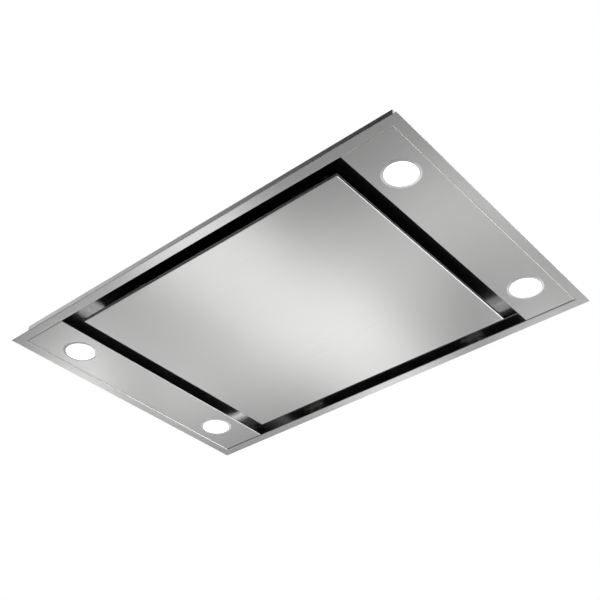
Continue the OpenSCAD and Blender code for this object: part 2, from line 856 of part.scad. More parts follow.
// Housing shell: one folded sheet with flanges on the deck
module housing_shell() {
  half = end_x - sheet_t;
  color(zinc)
  difference() {
    union() {
      along_x(-half, half) polygon(house_outline(0, house_z));
      plate(2 * half, house_w + 2 * house_flange, house_z, house_z + sheet_t);
    }
    along_x(-half - over, half + over) polygon(house_outline(sheet_t, house_z - over));
    for (p = corner_screws)
      translate([p[0], p[1], 0]) post(screw_r + fix_gap, house_z - over, house_z + sheet_t + over);
    rivet_holes();
  }
}

// End wall with its folded flange inside the shell
module end_wall(side)
  color(zinc)
  difference() {
    at_end(side) {
      along_x(end_x - sheet_t, end_x) polygon(house_outline(0, house_z));
      difference() {
        along_x(end_x - sheet_t - end_flange, end_x - sheet_t) polygon(house_outline(sheet_t, house_z));
        along_x(end_x - sheet_t - end_flange - over, end_x - sheet_t)
          polygon(house_outline(2 * sheet_t, house_z + sheet_t));
      }
    }
    for (s = [-1, 1])
      translate([0, s * driver_y, wire_z])
        bar_x(wire_hole_r, min(side * (end_x + over), side * (end_x - over - sheet_t)),
              max(side * (end_x + over), side * (end_x - over - sheet_t)));
    if (side < 0) {
      translate([0, duct_y, duct_z]) bar_x(duct_r + clear, -end_x - over, -end_x + over + sheet_t);
      collar_rivets(rivet_r + fix_gap, -end_x - over, -end_x + over + sheet_t);
    }
    if (side > 0)
      translate([0, gland_y, gland_z])
        bar_x(gland_r - duct_t + fix_gap, end_x - over - sheet_t, end_x + over);
    rivet_holes();
  }

// Places of the rivets in the top and the upright walls
module at_rivets() {
  for (s = [-1, 1]) {
    for (k = top_rivet_shares)
      translate([s * rivet_x, k * house_top_w, house_top]) children();
    for (k = side_rivet_shares, t = [-1, 1])
      translate([s * rivet_x, t * house_w / 2, house_z + k * house_low_h])
        rotate([-t * 90, 0, 0]) children();
  }
}

// Holes for those rivets
module rivet_holes() at_rivets() post(rivet_r + fix_gap, -3 * sheet_t, over);

// Rivets of the housing, the hangers and the duct collar
module housing_rivets()
  color(alu) {
    at_rivets() {
      post(rivet_r, -2 * sheet_t - rivet_head_h, 0);
      post(rivet_head_r, 0, rivet_head_h);
      post(rivet_head_r * 0.8, -2 * sheet_t - rivet_head_h, -2 * sheet_t);
    }
    for (sx = [-1, 1], sy = [-1, 1], t = [-1, 1])
      translate([sx * hanger_x + t * hanger_rivet_x, sy * hanger_y, 0]) {
        post(rivet_r, deck_z - rivet_head_h, recess_h + hanger_t + rivet_head_h);
        post(rivet_head_r, deck_z - rivet_head_h, deck_z);
        post(rivet_head_r, recess_h + hanger_t, recess_h + hanger_t + rivet_head_h);
      }
    collar_rivets(rivet_r, -end_x - duct_t - rivet_head_h, -end_x + sheet_t + rivet_head_h);
    collar_rivets(rivet_head_r, -end_x - duct_t - rivet_head_h, -end_x - duct_t);
    collar_rivets(rivet_head_r * 0.8, -end_x + sheet_t, -end_x + sheet_t + rivet_head_h);
  }

// Holes under the hangers' feet
module hanger_rivet_holes(z0, z1)
  for (sx = [-1, 1], sy = [-1, 1], t = [-1, 1])
    translate([sx * hanger_x + t * hanger_rivet_x, sy * hanger_y, 0])
      post(rivet_r + fix_gap, z0 - over, z1 + over);

// Four ceiling hangers: hat-shaped brackets with a hole for a threaded rod
module ceiling_hangers() {
  foot = hanger_top / 2 + hanger_foot;
  top = hanger_top / 2;
  color(zinc)
  difference() {
    for (sx = [-1, 1], sy = [-1, 1])
      translate([sx * hanger_x, sy * hanger_y + hanger_w / 2, recess_h])
        rotate([90, 0, 0])
          linear_extrude(hanger_w)
            polygon([
              [-foot, 0], [-top + hanger_t, 0], [-top + hanger_t, hanger_h - hanger_t],
              [top - hanger_t, hanger_h - hanger_t], [top - hanger_t, 0], [foot, 0],
              [foot, hanger_t], [top, hanger_t], [top, hanger_h],
              [-top, hanger_h], [-top, hanger_t], [-foot, hanger_t]
            ]);
    for (sx = [-1, 1], sy = [-1, 1])
      translate([sx * hanger_x, sy * hanger_y, 0])
        post(hanger_hole_r, recess_h + hanger_h - hanger_t - over, recess_h + hanger_h + over);
    hanger_rivet_holes(recess_h, recess_h + hanger_t);
  }
}

// Radius of the scroll's inner wall at an angle, from the tongue round to the mouth
function scroll_r(a) = tongue_r + scroll_growth * (a - tongue_a) / (mouth_a - tongue_a);

// Points of the scroll's spiral, set out by t
function spiral(t, a0) = [
  for (k = [0 : spiral_steps])
    let (a = mouth_a + k * (a0 - mouth_a) / spiral_steps)
    [fan_x + (scroll_r(a) + t) * cos(a), fan_y + (scroll_r(a) + t) * sin(a)]
];

// Outline of the scroll, set out by t, with its mouth at x
module scroll_outline(t, x, a0)
  polygon(concat([[x, mouth_y1 + t]], spiral(t, a0), [[x, mouth_y0 - t]]));

// Places of the lugs round the scroll
module at_lugs() {
  for (a = lug_angles)
    translate([
      fan_x + (scroll_r(a) + scroll_t + lug_r - over) * cos(a),
      fan_y + (scroll_r(a) + scroll_t + lug_r - over) * sin(a), 0
    ]) children();
  translate([lug_mouth_x, mouth_y1 + scroll_t + lug_r - 2 * over, 0]) children();
}

// Scroll: spiral wall that widens towards the mouth, floor with the inlet hole, and lugs
module blower_scroll()
  color(plastic)
  difference() {
    union() {
      translate([0, 0, scroll_z])
        linear_extrude(scroll_h - scroll_t) scroll_outline(scroll_t, mouth_end, tongue_a + tongue_tip_a);
      at_lugs() post(lug_r, cover_z - lug_h, cover_z);
    }
    translate([0, 0, scroll_z + scroll_t])
      linear_extrude(scroll_h) scroll_outline(0, mouth_end - over, tongue_a);
    translate([fan_x, fan_y, 0]) post(inlet_hole_r, scroll_z - over, scroll_z + scroll_t + over);
  }

// Cover of the scroll, with the motor's hole
module scroll_cover()
  color(plastic)
  difference() {
    union() {
      translate([0, 0, cover_z])
        linear_extrude(scroll_t) scroll_outline(scroll_t, mouth_end, tongue_a + tongue_tip_a);
      at_lugs() post(lug_r, cover_z, scroll_top);
    }
    translate([fan_x, fan_y, 0]) post(cup_r, cover_z - over, scroll_top + over);
  }

// Inlet ring: flange under the scroll's floor and a rounded throat
module inlet_ring() {
  flange = 8;
  steps = 8;
  lip = inlet_hole_r - clear - inlet_r;
  color(alu)
  translate([fan_x, fan_y, 0])
    rotate_extrude()
      polygon(concat(
        [[inlet_hole_r + flange, scroll_z], [inlet_hole_r + flange, scroll_z - duct_t]],
        [for (k = [0 : steps]) let (a = 90 * k / steps)
          [inlet_r + lip - lip * sin(a), scroll_z - duct_t + lip * (1 - cos(a))]],
        [[inlet_r, blade_z + ring_t], [inlet_r + duct_t, blade_z + ring_t],
         [inlet_r + duct_t, scroll_z + lip], [inlet_r + lip, scroll_z]]
      ));
}

// Impeller: forward-curved blades between an inlet ring and a dished back plate with its hub
module impeller() {
  inner_r = fan_r - blade_d;
  mid_r = fan_r - blade_d / 2;
  color(alu)
  translate([fan_x, fan_y, 0])
  difference() {
    union() {
      for (k = [0 : blades - 1])
        rotate([0, 0, 360 * k / blades])
          translate([0, 0, blade_z + ring_t / 2])
            linear_extrude(blade_h + ring_t)
              blade_section(mid_r);
      difference() {
        post(fan_r, blade_z, blade_z + ring_t);
        post(inner_r, blade_z - over, blade_z + ring_t + over);
      }
      rotate_extrude()
        polygon([
          [0, cup_z - dish_t], [cup_r, cup_z - dish_t], [cup_r + dish_t, cup_z],
          [cup_r + dish_t, fan_top], [fan_r, fan_top], [fan_r, fan_top + dish_t],
          [cup_r, fan_top + dish_t], [cup_r, cup_z], [0, cup_z]
        ]);
      post(hub_r, cup_z - hub_h, cup_z);
    }
    post(shaft_r + pin_gap, cup_z - hub_h - over, cup_z + over);
  }
}

// Section of one blade: an arc that leans into the turn at its tip
module blade_section(mid_r) {
  half = asin(blade_d / 2 / blade_curve_r);
  steps = 5;
  lean = 20;
  translate([mid_r, 0])
    rotate(lean)
      translate([0, -blade_curve_r * cos(half)])
        polygon(concat(
          [for (k = [0 : steps]) let (a = half * (2 * k / steps - 1)) blade_curve_r * [sin(-a), cos(a)]],
          [for (k = [steps : -1 : 0]) let (a = half * (2 * k / steps - 1))
            (blade_curve_r + blade_t) * [sin(-a), cos(a)]]
        ));
}

// Motor: ribbed can with end boss and shaft
module motor() {
  rib = 1.5;
  ribs = 12;
  color(dark)
  translate([fan_x, fan_y, 0])
  union() {
    post(motor_r - rib, motor_z, scroll_top);
    for (k = [0 : ribs - 1])
      rotate([0, 0, 360 * k / ribs])
        block([motor_r - 3 * rib, -rib, motor_z + 2 * rib], [motor_r, rib, scroll_top - 4 * rib]);
    post(motor_r, scroll_top - 4 * rib, scroll_top);
    post(2 * shaft_r, motor_z - rib, motor_z);
    post(shaft_r, cup_z - hub_h, motor_z);
  }
}

// Motor bracket: plate on the scroll's cover with lightening holes and a terminal block
module motor_bracket() {
  holes = 6;
  color(zinc)
  translate([fan_x, fan_y, 0]) {
    difference() {
      post(motor_plate_r, scroll_top, scroll_top + hinge_t);
      for (k = [0 : holes - 1])
        rotate([0, 0, 360 * (k + 0.5) / holes])
          translate([motor_r / 2, 0, 0]) post(mount_r, scroll_top - over, scroll_top + hinge_t + over);
    }
    block([motor_plate_r - plug_l, -plug_w / 2, scroll_top + hinge_t],
          [motor_plate_r, plug_w / 2, scroll_top + blower_hang - over]);
  }
}

// Rubber mounts between the blower and the housing's top
module blower_mounts()
  color(rubber)
  at_lugs()
    difference() {
      post(mount_r, scroll_top, scroll_top + blower_hang);
      difference() {
        post(mount_r + over, scroll_top + blower_hang / 3, scroll_top + 2 * blower_hang / 3);
        post(mount_r * 0.8, scroll_top, scroll_top + blower_hang);
      }
    }

// Capacitor for the motor, lying in the control box
module motor_capacitor()
  color(alu)
  translate([ctrl_x + ctrl_t + cap_r + cap_gap, -cap_l - board_edge, ctrl_z + ctrl_t + clear + cap_r])
    rotate([-90, 0, 0]) {
      post(cap_r, 0, cap_l);
      post(cap_r / 3, cap_l, cap_l + board_edge / 2);
    }

// Adaptor from the scroll's square mouth to the round duct
module outlet_adaptor()
  color(plastic)
  difference() {
    adaptor_form(scroll_t, 0);
    adaptor_form(0, over);
  }

// Solid of the adaptor, set out by t and lengthened by e at both ends
module adaptor_form(t, e)
  hull() {
    block([mouth_end + e - scroll_t, mouth_y0 - t, scroll_z + scroll_t - t],
          [mouth_end + e, mouth_y1 + t, cover_z + t]);
    translate([0, duct_y, duct_z])
      bar_x(duct_r - scroll_t + t, collar_start - e, collar_start - e + scroll_t, $fn = 48);
  }

// Duct collar: flange with four ears on the end wall, and the spigot
module duct_collar() {
  color(zinc)
  difference() {
    union() {
      translate([0, duct_y, duct_z]) {
        bar_x(duct_r, collar_end, collar_start);
        bar_x(duct_r + collar_flange, -end_x - duct_t, -end_x);
      }
      collar_rivets(2 * rivet_head_r, -end_x - duct_t, -end_x);
    }
    translate([0, duct_y, duct_z]) {
      bar_x(duct_r - duct_t, collar_end - over, collar_start + over);
      translate([flap_x, 0, 0]) post(flap_pin_r + pin_gap, -duct_r - over, duct_r + over);
    }
    collar_rivets(rivet_r + fix_gap, -end_x - duct_t - over, -end_x + over);
  }
}

// Round bars at the collar's four fixing places
module collar_rivets(r, x0, x1)
  for (a = [45 : 90 : 315])
    translate([0, duct_y, duct_z])
      rotate([a, 0, 0])
        translate([0, duct_r + collar_flange + rivet_head_r, 0])
          bar_x(r, x0, x1);

// Non-return flap: half disc with its knuckles, the side is +1 or -1 in Y
module flap(side) {
  inner = flap_slot;
  outer = side > 0 ? [flap_knuckle_z - flap_knuckle_l, flap_knuckle_z] : [0, flap_knuckle_l - clear];
  color(plastic)
  translate([flap_x, duct_y, duct_z])
  difference() {
    union() {
      intersection() {
        bar_x(flap_r, -flap_t / 2, flap_t / 2);
        union() {
          block([-flap_t, min(side * inner, side * duct_r), -duct_r],
                [flap_t, max(side * inner, side * duct_r), duct_r]);
          for (s = [-1, 1])
            block([-flap_t, min(0, side * duct_r), min(s * outer[0], s * outer[1])],
                  [flap_t, max(0, side * duct_r), max(s * outer[0], s * outer[1])]);
        }
      }
      for (s = [-1, 1])
        post(flap_knuckle_r, min(s * outer[0], s * outer[1]), max(s * outer[0], s * outer[1]));
    }
    post(flap_pin_r + pin_gap, -duct_r, duct_r);
  }
}

// Pin of the flaps, held in the collar's wall
module flap_pin()
  color(alu)
  translate([flap_x, duct_y, duct_z]) post(flap_pin_r, -duct_r + clear, duct_r - clear);

// Control box: folded tray on the right end wall
module control_box()
  color(zinc)
  difference() {
    block([ctrl_x, -ctrl_w / 2, ctrl_z], [ctrl_x + ctrl_d, ctrl_w / 2, ctrl_z + ctrl_h]);
    block([ctrl_x - over, -ctrl_w / 2 + ctrl_t, ctrl_z + ctrl_t],
          [ctrl_x + ctrl_d - ctrl_t, ctrl_w / 2 - ctrl_t, ctrl_z + ctrl_h - ctrl_t]);
    translate([motor_wire_x, fan_y, 0])
      post(wire_r + fix_gap, ctrl_z + ctrl_h - ctrl_t - over, ctrl_z + ctrl_h + over);
  }

// Cover of the control box, with its folded lip and vent slots
module control_cover() {
  slots = 5;
  color(zinc)
  difference() {
    union() {
      block([ctrl_x - ctrl_t, -ctrl_w / 2, ctrl_z], [ctrl_x, ctrl_w / 2, ctrl_z + ctrl_h]);
      translate([0, 0, ctrl_z + ctrl_h / 2])
        difference() {
          block([ctrl_x, -ctrl_w / 2 + ctrl_t + clear, -ctrl_h / 2 + ctrl_t + clear],
                [ctrl_x + 2 * ctrl_t, ctrl_w / 2 - ctrl_t - clear, ctrl_h / 2 - ctrl_t - clear]);
          block([ctrl_x - over, -ctrl_w / 2 + 2 * ctrl_t + clear, -ctrl_h / 2 + 2 * ctrl_t + clear],
                [ctrl_x + 3 * ctrl_t, ctrl_w / 2 - 2 * ctrl_t - clear, ctrl_h / 2 - 2 * ctrl_t - clear]);
        }
    }
    for (k = [-(slots - 1) / 2 : (slots - 1) / 2])
      translate([ctrl_x, k * 2 * board_edge, ctrl_z + ctrl_h * 0.7])
        block([-2 * ctrl_t, -board_edge / 2, 0], [over, board_edge / 2, ctrl_h * 0.15]);
  }
}

// Circuit board on its standoffs, with relays, transformer and terminals
module circuit_board() {
  wide = ctrl_w - 2 * ctrl_t - 2 * board_edge;
  high = ctrl_h - 2 * ctrl_t - 2 * board_edge;
  mid_z = ctrl_z + ctrl_h / 2;
  relays = 3;
  color("darkgreen")
  union() {
    translate([board_x, 0, mid_z]) block([-board_t, -wide / 2, -high / 2], [0, wide / 2, high / 2]);
    for (sy = [-1, 1], sz = [-1, 1])
      translate([0, sy * (wide / 2 - board_edge), mid_z + sz * (high / 2 - board_edge)])
        bar_x(board_edge / 2, board_x - board_t, ctrl_x + ctrl_d - ctrl_t);
    for (k = [0 : relays - 1])
      translate([board_x - board_t, relay_y + k * (relay_w + board_edge), mid_z - high / 4])
        block([-relay_l, 0, -relay_h / 2], [0, relay_w, relay_h / 2]);
    translate([board_x - board_t, relay_y, mid_z])
      block([-1.6 * relay_l, 0, 0], [0, 2 * relay_w, 1.6 * relay_h]);
    translate([board_x - board_t, -wide / 2 + board_edge, mid_z + high / 4])
      block([-relay_h, 0, -board_edge], [0, 3 * relay_w, board_edge]);
  }
}

// Spot drivers beside the filters, each feeding two spots
module spot_drivers()
  color(plastic)
  for (s = [-1, 1])
    translate([driver_x, s * driver_y, 0])
      difference() {
        plate(driver_l, driver_w, recess_h, recess_h + driver_h);
        for (t = [-1, 1])
          translate([t * driver_l / 2, 0, 0])
            plate(2 * board_edge, driver_w + 2 * over,
                  recess_h + driver_h / 2 + board_edge, recess_h + driver_h + over);
      }

// Lead of the spot at p: up through the deck, along it, across to the driver's line, and to the driver
module spot_lead(p, spot_z) {
  near_y = sign(p[1]) * relief_y;
  far_y = sign(p[1]) * driver_y;
  turn_x = sign(p[0]) * (end_x + lead_turn);
  end = driver_x + sign(p[0]) * driver_l / 2;
  translate([p[0], near_y, 0]) post(wire_r, spot_z, wire_z);
  translate([p[0], near_y, wire_z]) sphere(r = wire_r);
  translate([0, near_y, wire_z]) bar_x(wire_r, min(p[0], turn_x), max(p[0], turn_x));
  for (y = [near_y, far_y])
    translate([turn_x, y, wire_z]) sphere(r = wire_r);
  translate([turn_x, min(near_y, far_y), wire_z])
    rotate([-90, 0, 0]) post(wire_r, 0, abs(far_y - near_y));
  translate([0, far_y, wire_z]) bar_x(wire_r, min(turn_x, end), max(turn_x, end));
}

// Leads from the spots to their drivers, and from the motor to the control box
module wiring() {
  spot_z = spot_body_z + spot_body_h + relief_h;
  color(rubber) {
    for (p = spot_places)
      spot_lead(p, spot_z);
    translate([0, fan_y, motor_wire_z]) {
      bar_x(wire_r, fan_x + motor_plate_r, motor_wire_x);
      translate([motor_wire_x, 0, 0]) sphere(r = wire_r);
    }
    translate([motor_wire_x, fan_y, 0]) post(wire_r, ctrl_z + ctrl_h - 2 * board_edge, motor_wire_z);
  }
}

// Cable gland in the right end wall: body, hex nut, dome and locknut
module cable_gland() {
  body_r = gland_r - duct_t;
  nut_t = 4;
  color(plastic)
  translate([0, gland_y, gland_z])
  difference() {
    union() {
      bar_x(body_r, end_x - sheet_t - nut_t, end_x + 2 * nut_t);
      bar_x(gland_r, end_x, end_x + nut_t, $fn = 6);
      bar_x(gland_r, end_x - sheet_t - nut_t, end_x - sheet_t, $fn = 6);
      translate([end_x + 2 * nut_t, 0, 0])
        rotate([0, 90, 0])
          cylinder(r1 = gland_r, r2 = gland_bore_r + duct_t, h = 2 * nut_t);
    }
    bar_x(gland_bore_r, end_x - sheet_t - nut_t - over, end_x + 4 * nut_t + over);
  }
}

// Pan-head screws: four through the deck with nuts, and those of the light panels
module deck_screws()
  color(alu) {
    for (p = corner_screws)
      translate([p[0], p[1], 0]) {
        post(screw_head_r, deck_z - screw_head_h, deck_z);
        post(screw_r, deck_z - screw_head_h, recess_h + sheet_t + screw_head_h);
        translate([0, 0, recess_h + sheet_t]) cylinder(r = screw_head_r, h = screw_head_h, $fn = 6);
      }
    for (s = [-1, 1], y = light_screw_ys)
      translate([s * light_screw_x, y, 0]) {
        post(screw_head_r, recess_h, recess_h + screw_head_h);
        post(screw_r, deck_z - 3 * sheet_t, recess_h + screw_head_h);
      }
  }

face_frame();
light_panel(-1);  // light_panel_left
light_panel(1);  // light_panel_right
recess_deck();
panel_face();
panel_back();
panel_ribs();
hinge_leaf(-1);  // hinge_leaf_left
hinge_leaf(1);  // hinge_leaf_right
strike_plates();
hinge_bracket(-1);  // hinge_bracket_left
hinge_bracket(1);  // hinge_bracket_right
hinge_pins();
magnet_catches();
spot_bezel(1);  // spot_bezel_1
spot_bezel(2);  // spot_bezel_2
spot_bezel(3);  // spot_bezel_3
spot_bezel(4);  // spot_bezel_4
spot_lens(1);  // spot_lens_1
spot_lens(2);  // spot_lens_2
spot_lens(3);  // spot_lens_3
spot_lens(4);  // spot_lens_4
spot_body(1);  // spot_body_1
spot_body(2);  // spot_body_2
spot_body(3);  // spot_body_3
spot_body(4);  // spot_body_4
spot_clips();
spot_drivers();
wiring();
filter_frame(-1);  // filter_frame_left
filter_frame(1);  // filter_frame_right
filter_mesh(-1);  // filter_mesh_left
filter_mesh(1);  // filter_mesh_right
filter_latch(-1);  // filter_latch_left
filter_latch(1);  // filter_latch_right
filter_rails();
housing_shell();
end_wall(-1);  // end_wall_left
end_wall(1);  // end_wall_right
ceiling_hangers();
blower_scroll();
scroll_cover();
inlet_ring();
impeller();
motor();
motor_bracket();
blower_mounts();
motor_capacitor();
outlet_adaptor();
duct_collar();
flap(1);  // flap_left
flap(-1);  // flap_right
flap_pin();
control_box();
control_cover();
circuit_board();
cable_gland();
deck_screws();
housing_rivets();
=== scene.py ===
"""Looks of a ceiling cassette hood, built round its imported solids.

Every length is in metres, in the frame of the solids: the origin is in the middle of the face, at the
visible underside of the rim, +X runs along the long side and +Z goes up into the ceiling.
"""

import json
import logging
import math
from collections.abc import Callable, Sequence
from dataclasses import dataclass
from enum import Enum
from typing import ClassVar

import bmesh
import bpy
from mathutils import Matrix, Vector


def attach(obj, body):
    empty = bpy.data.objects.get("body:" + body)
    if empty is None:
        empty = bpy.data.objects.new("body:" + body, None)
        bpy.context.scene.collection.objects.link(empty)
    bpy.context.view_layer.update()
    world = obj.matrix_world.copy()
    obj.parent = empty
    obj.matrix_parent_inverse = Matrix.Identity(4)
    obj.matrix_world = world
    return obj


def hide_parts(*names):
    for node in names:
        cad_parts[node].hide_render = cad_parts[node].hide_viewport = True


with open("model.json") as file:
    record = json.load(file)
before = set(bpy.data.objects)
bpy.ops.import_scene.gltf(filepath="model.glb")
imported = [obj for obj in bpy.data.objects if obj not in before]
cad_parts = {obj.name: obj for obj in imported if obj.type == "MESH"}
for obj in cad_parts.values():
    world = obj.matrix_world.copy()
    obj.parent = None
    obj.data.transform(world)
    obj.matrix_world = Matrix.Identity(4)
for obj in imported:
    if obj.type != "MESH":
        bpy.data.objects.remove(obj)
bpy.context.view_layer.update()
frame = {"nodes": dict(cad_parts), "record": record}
log = logging.getLogger("hood")

Pair = tuple[float, float]
Point = tuple[float, float, float]
Colour = tuple[float, float, float]
Outline = list[Pair]
Node = bpy.types.Node
Material = bpy.types.Material

# Name of the map that the scratches of brushed steel follow
GRAIN = "grain"
# Slack when places are compared, and the radius that stands for a point on an axis
TINY = 1e-5
POINT = 1e-6
# Share of its normal along an axis from which a face counts as facing that way
FACING = 0.9
# Values between which a noise pattern mostly stays
NOISE_LOW, NOISE_HIGH = 0.3, 0.7


class Element(Enum):
    """Kind of mesh element to pick; the value is Blender's select mode for points, edges and faces."""

    POINTS = (True, False, False)
    EDGES = (False, True, False)
    FACES = (False, False, True)


class End(Enum):
    """End of the hood along X, as the names of the solids write it."""

    LEFT = "left"
    RIGHT = "right"


# Bench: how a piece is shaped and finished


def rest_tools() -> None:
    """Leaves edit mode and deselects everything, so that the next operator acts on new work alone."""
    if bpy.context.object is not None and bpy.context.object.mode != "OBJECT":
        bpy.ops.object.mode_set(mode="OBJECT")
    bpy.ops.object.select_all(action="DESELECT")


def settle() -> None:
    """Takes the selected object's place, turn and scale into its mesh."""
    bpy.ops.object.transform_apply(location=True, rotation=True, scale=True)


def arc(centre: Pair, radius: float, start: float, end: float, steps: int) -> Outline:
    """Points of an arc in a cross-section.

    Args:
        centre: Middle of the arc.
        radius: Its radius.
        start: First angle, in degrees.
        end: Last angle, in degrees.
        steps: Number of straight steps.

    Returns:
        The points from start to end.
    """
    points = []
    for k in range(steps + 1):
        a = math.radians(start + (end - start) * k / steps)
        points.append((centre[0] + radius * math.cos(a), centre[1] + radius * math.sin(a)))
    return points


class Workpiece:
    """One mesh on the bench, shaped with edit-mode operators as by hand.

    The class keeps the names of the solids that its finished pieces stand for.
    """

    replaced: ClassVar[set[str]] = set()

    def __init__(self, name: str) -> None:
        """Takes up the object that an operator has just added.

        Args:
            name: Name of the finished piece.
        """
        self.obj: bpy.types.Object = bpy.context.object
        self.obj.name = name
        self.obj.data.name = name

    @classmethod
    def start(
        cls, name: str, add: Callable[..., set[str]], scale: Point = (1, 1, 1), **settings: object
    ) -> "Workpiece":
        """Starts from one of Blender's primitives.

        Args:
            name: Name of the piece.
            add: Operator that adds the primitive.
            scale: How far it is stretched along X, Y and Z.
            **settings: The operator's settings.

        Returns:
            The new workpiece, with its place and size in its mesh.
        """
        rest_tools()
        add(**settings)
        bpy.context.object.scale = scale
        settle()
        return cls(name)

    @classmethod
    def block(cls, name: str, low: Point, high: Point) -> "Workpiece":
        """Starts from a block between its lowest and its highest corner."""
        middle, scale = (Vector(low) + Vector(high)) / 2, Vector(high) - Vector(low)
        return cls.start(name, bpy.ops.mesh.primitive_cube_add, scale, size=1, location=middle)

    @classmethod
    def folded(cls, name: str, half: Pair, outline: Outline) -> "Workpiece":
        """Carries a closed cross-section round a rectangle, mitred at its corners.

        Args:
            name: Name of the piece.
            half: Half the rectangle's length and width.
            outline: Cross-section as (inset from the rectangle, height).

        Returns:
            The new workpiece, closed and with its faces outwards.
        """
        inset, height = outline[0]
        scale = (half[0] - inset, half[1] - inset, 1)
        piece = cls.start(name, bpy.ops.mesh.primitive_plane_add, scale, size=2, location=(0, 0, height))
        piece._carry([(half[0] - i, half[1] - i, z) for i, z in outline])
        return piece

    @classmethod
    def turned(cls, name: str, outline: Outline, sides: int) -> "Workpiece":
        """Turns a closed cross-section round the upright axis through the origin.

        Args:
            name: Name of the piece.
            outline: Cross-section as (radius, height). A radius of zero closes the piece on its axis.
            sides: Number of sides.

        Returns:
            The new workpiece, closed and with its faces outwards.
        """
        radius, height = outline[0]
        piece = cls.start(
            name, bpy.ops.mesh.primitive_circle_add, vertices=sides, radius=max(radius, POINT),
            fill_type="NOTHING", location=(0, 0, height),
        )
        piece._carry([(r, r, z) for r, z in outline])
        return piece

    def _carry(self, sizes: Sequence[Point]) -> None:
        """Extrudes the starting loop through the sizes and closes the skin, with its faces outwards.

        Args:
            sizes: Half length, half width and height at each stage; the first is the loop itself.
        """
        self.edit()
        bpy.ops.mesh.select_all(action="SELECT")
        if len(self.obj.data.polygons):
            bpy.ops.mesh.delete(type="ONLY_FACE")
        bpy.ops.mesh.select_all(action="SELECT")
        stages = [*sizes, sizes[0]] if sizes[0][0] > TINY and sizes[-1][0] > TINY else list(sizes)
        for (ax, ay, az), (bx, by, bz) in zip(stages, stages[1:]):
            bpy.ops.mesh.extrude_edges_move()
            grow = (max(bx, POINT) / max(ax, POINT), max(by, POINT) / max(ay, POINT), 1)
            bpy.ops.transform.resize(value=grow, center_override=(0, 0, 0))
            bpy.ops.transform.translate(value=(0, 0, bz - az))
        bpy.ops.mesh.select_all(action="SELECT")
        bpy.ops.mesh.remove_doubles(threshold=TINY / 2)
        bpy.ops.mesh.normals_make_consistent(inside=False)
        self.leave()

    def edit(self) -> None:
        """Takes the piece into edit mode."""
        if self.obj.mode != "EDIT":
            self.leave()
            bpy.ops.object.mode_set(mode="EDIT")

    def leave(self) -> None:
        """Takes the piece back to object mode, selected and active."""
        if self.obj.mode == "EDIT":
            bpy.ops.object.mode_set(mode="OBJECT")
        bpy.ops.object.select_all(action="DESELECT")
        self.obj.select_set(True)
        bpy.context.view_layer.objects.active = self.obj

    def pick(self, kind: Element, test: Callable[..., bool]) -> None:
        """Selects elements in edit mode by where they are.

        Args:
            kind: Kind of element.
            test: Takes a point, an edge's two ends, or a face's middle and normal, and says whether that
                element is picked.
        """
        self.edit()
        bpy.context.tool_settings.mesh_select_mode = kind.value
        bpy.ops.mesh.select_all(action="DESELECT")
        work = bmesh.from_edit_mesh(self.obj.data)
        if kind is Element.FACES:
            for face in work.faces:
                face.select_set(test(face.calc_center_median(), face.normal))
        elif kind is Element.EDGES:
            for edge in work.edges:
                edge.select_set(test(edge.verts[0].co, edge.verts[1].co))
        else:
            for point in work.verts:
                point.select_set(test(point.co))
            work.select_flush_mode()
        bmesh.update_edit_mesh(self.obj.data)

    def cut(self, at: Point, normal: Point) -> None:
        """Cuts new edges into the piece where a plane crosses it.

        Args:
            at: A point of the plane.
            normal: The plane's normal.
        """
        self.edit()
        bpy.ops.mesh.select_all(action="SELECT")
        bpy.ops.mesh.bisect(plane_co=at, plane_no=normal)

    def bevel(self, width: float, steps: int) -> None:
        """Rounds the picked edges to a radius, in a number of faces."""
        bpy.ops.mesh.bevel(offset=width, segments=steps, affect="EDGES", offset_type="OFFSET")

    def modify(self, kind: str, **settings: object) -> None:
        """Adds a modifier to the piece and applies it.

        Args:
            kind: Blender's name of its type.
            **settings: Its properties.
        """
        self.leave()
        mod = self.obj.modifiers.new(kind.lower(), kind)
        for key, value in settings.items():
            setattr(mod, key, value)
        bpy.ops.object.modifier_apply(modifier=mod.name)

    def sheet(self, thickness: float) -> None:
        """Gives an open skin its sheet thickness, inwards from its outer face."""
        self.modify("SOLIDIFY", thickness=thickness, offset=-1, use_even_offset=True, use_rim=True)

    def pierce(self, cutter: "Workpiece") -> None:
        """Takes another piece's shape out of this one, and the cutter off the bench."""
        self.modify("BOOLEAN", operation="DIFFERENCE", solver="EXACT", object=cutter.obj)
        cutter.drop()

    def drop(self) -> None:
        """Takes the piece off the bench for good."""
        bpy.data.objects.remove(self.obj)

    def shift(self, by: Point) -> None:
        """Moves the piece, with its place kept in its mesh.

        Args:
            by: How far it goes along X, Y and Z.
        """
        self.leave()
        self.obj.location = by
        settle()

    def turn(self, degrees: float, axis: int = 2) -> None:
        """Turns the piece round an axis through the origin, with its place kept in its mesh.

        Args:
            degrees: Angle of the turn.
            axis: 0 for X, 1 for Y, 2 for Z.
        """
        self.leave()
        self.obj.rotation_euler[axis] = math.radians(degrees)
        settle()

    def copy(self, name: str) -> "Workpiece":
        """Copies the piece with a mesh of its own.

        Args:
            name: Name of the copy.

        Returns:
            The copy.
        """
        self.leave()
        bpy.ops.object.duplicate(linked=False)
        return Workpiece(name)

    def join(self, others: Sequence["Workpiece"]) -> None:
        """Joins other pieces into this one.

        Args:
            others: The other pieces, which are gone afterwards.
        """
        self.leave()
        for other in others:
            other.obj.select_set(True)
        bpy.ops.object.join()

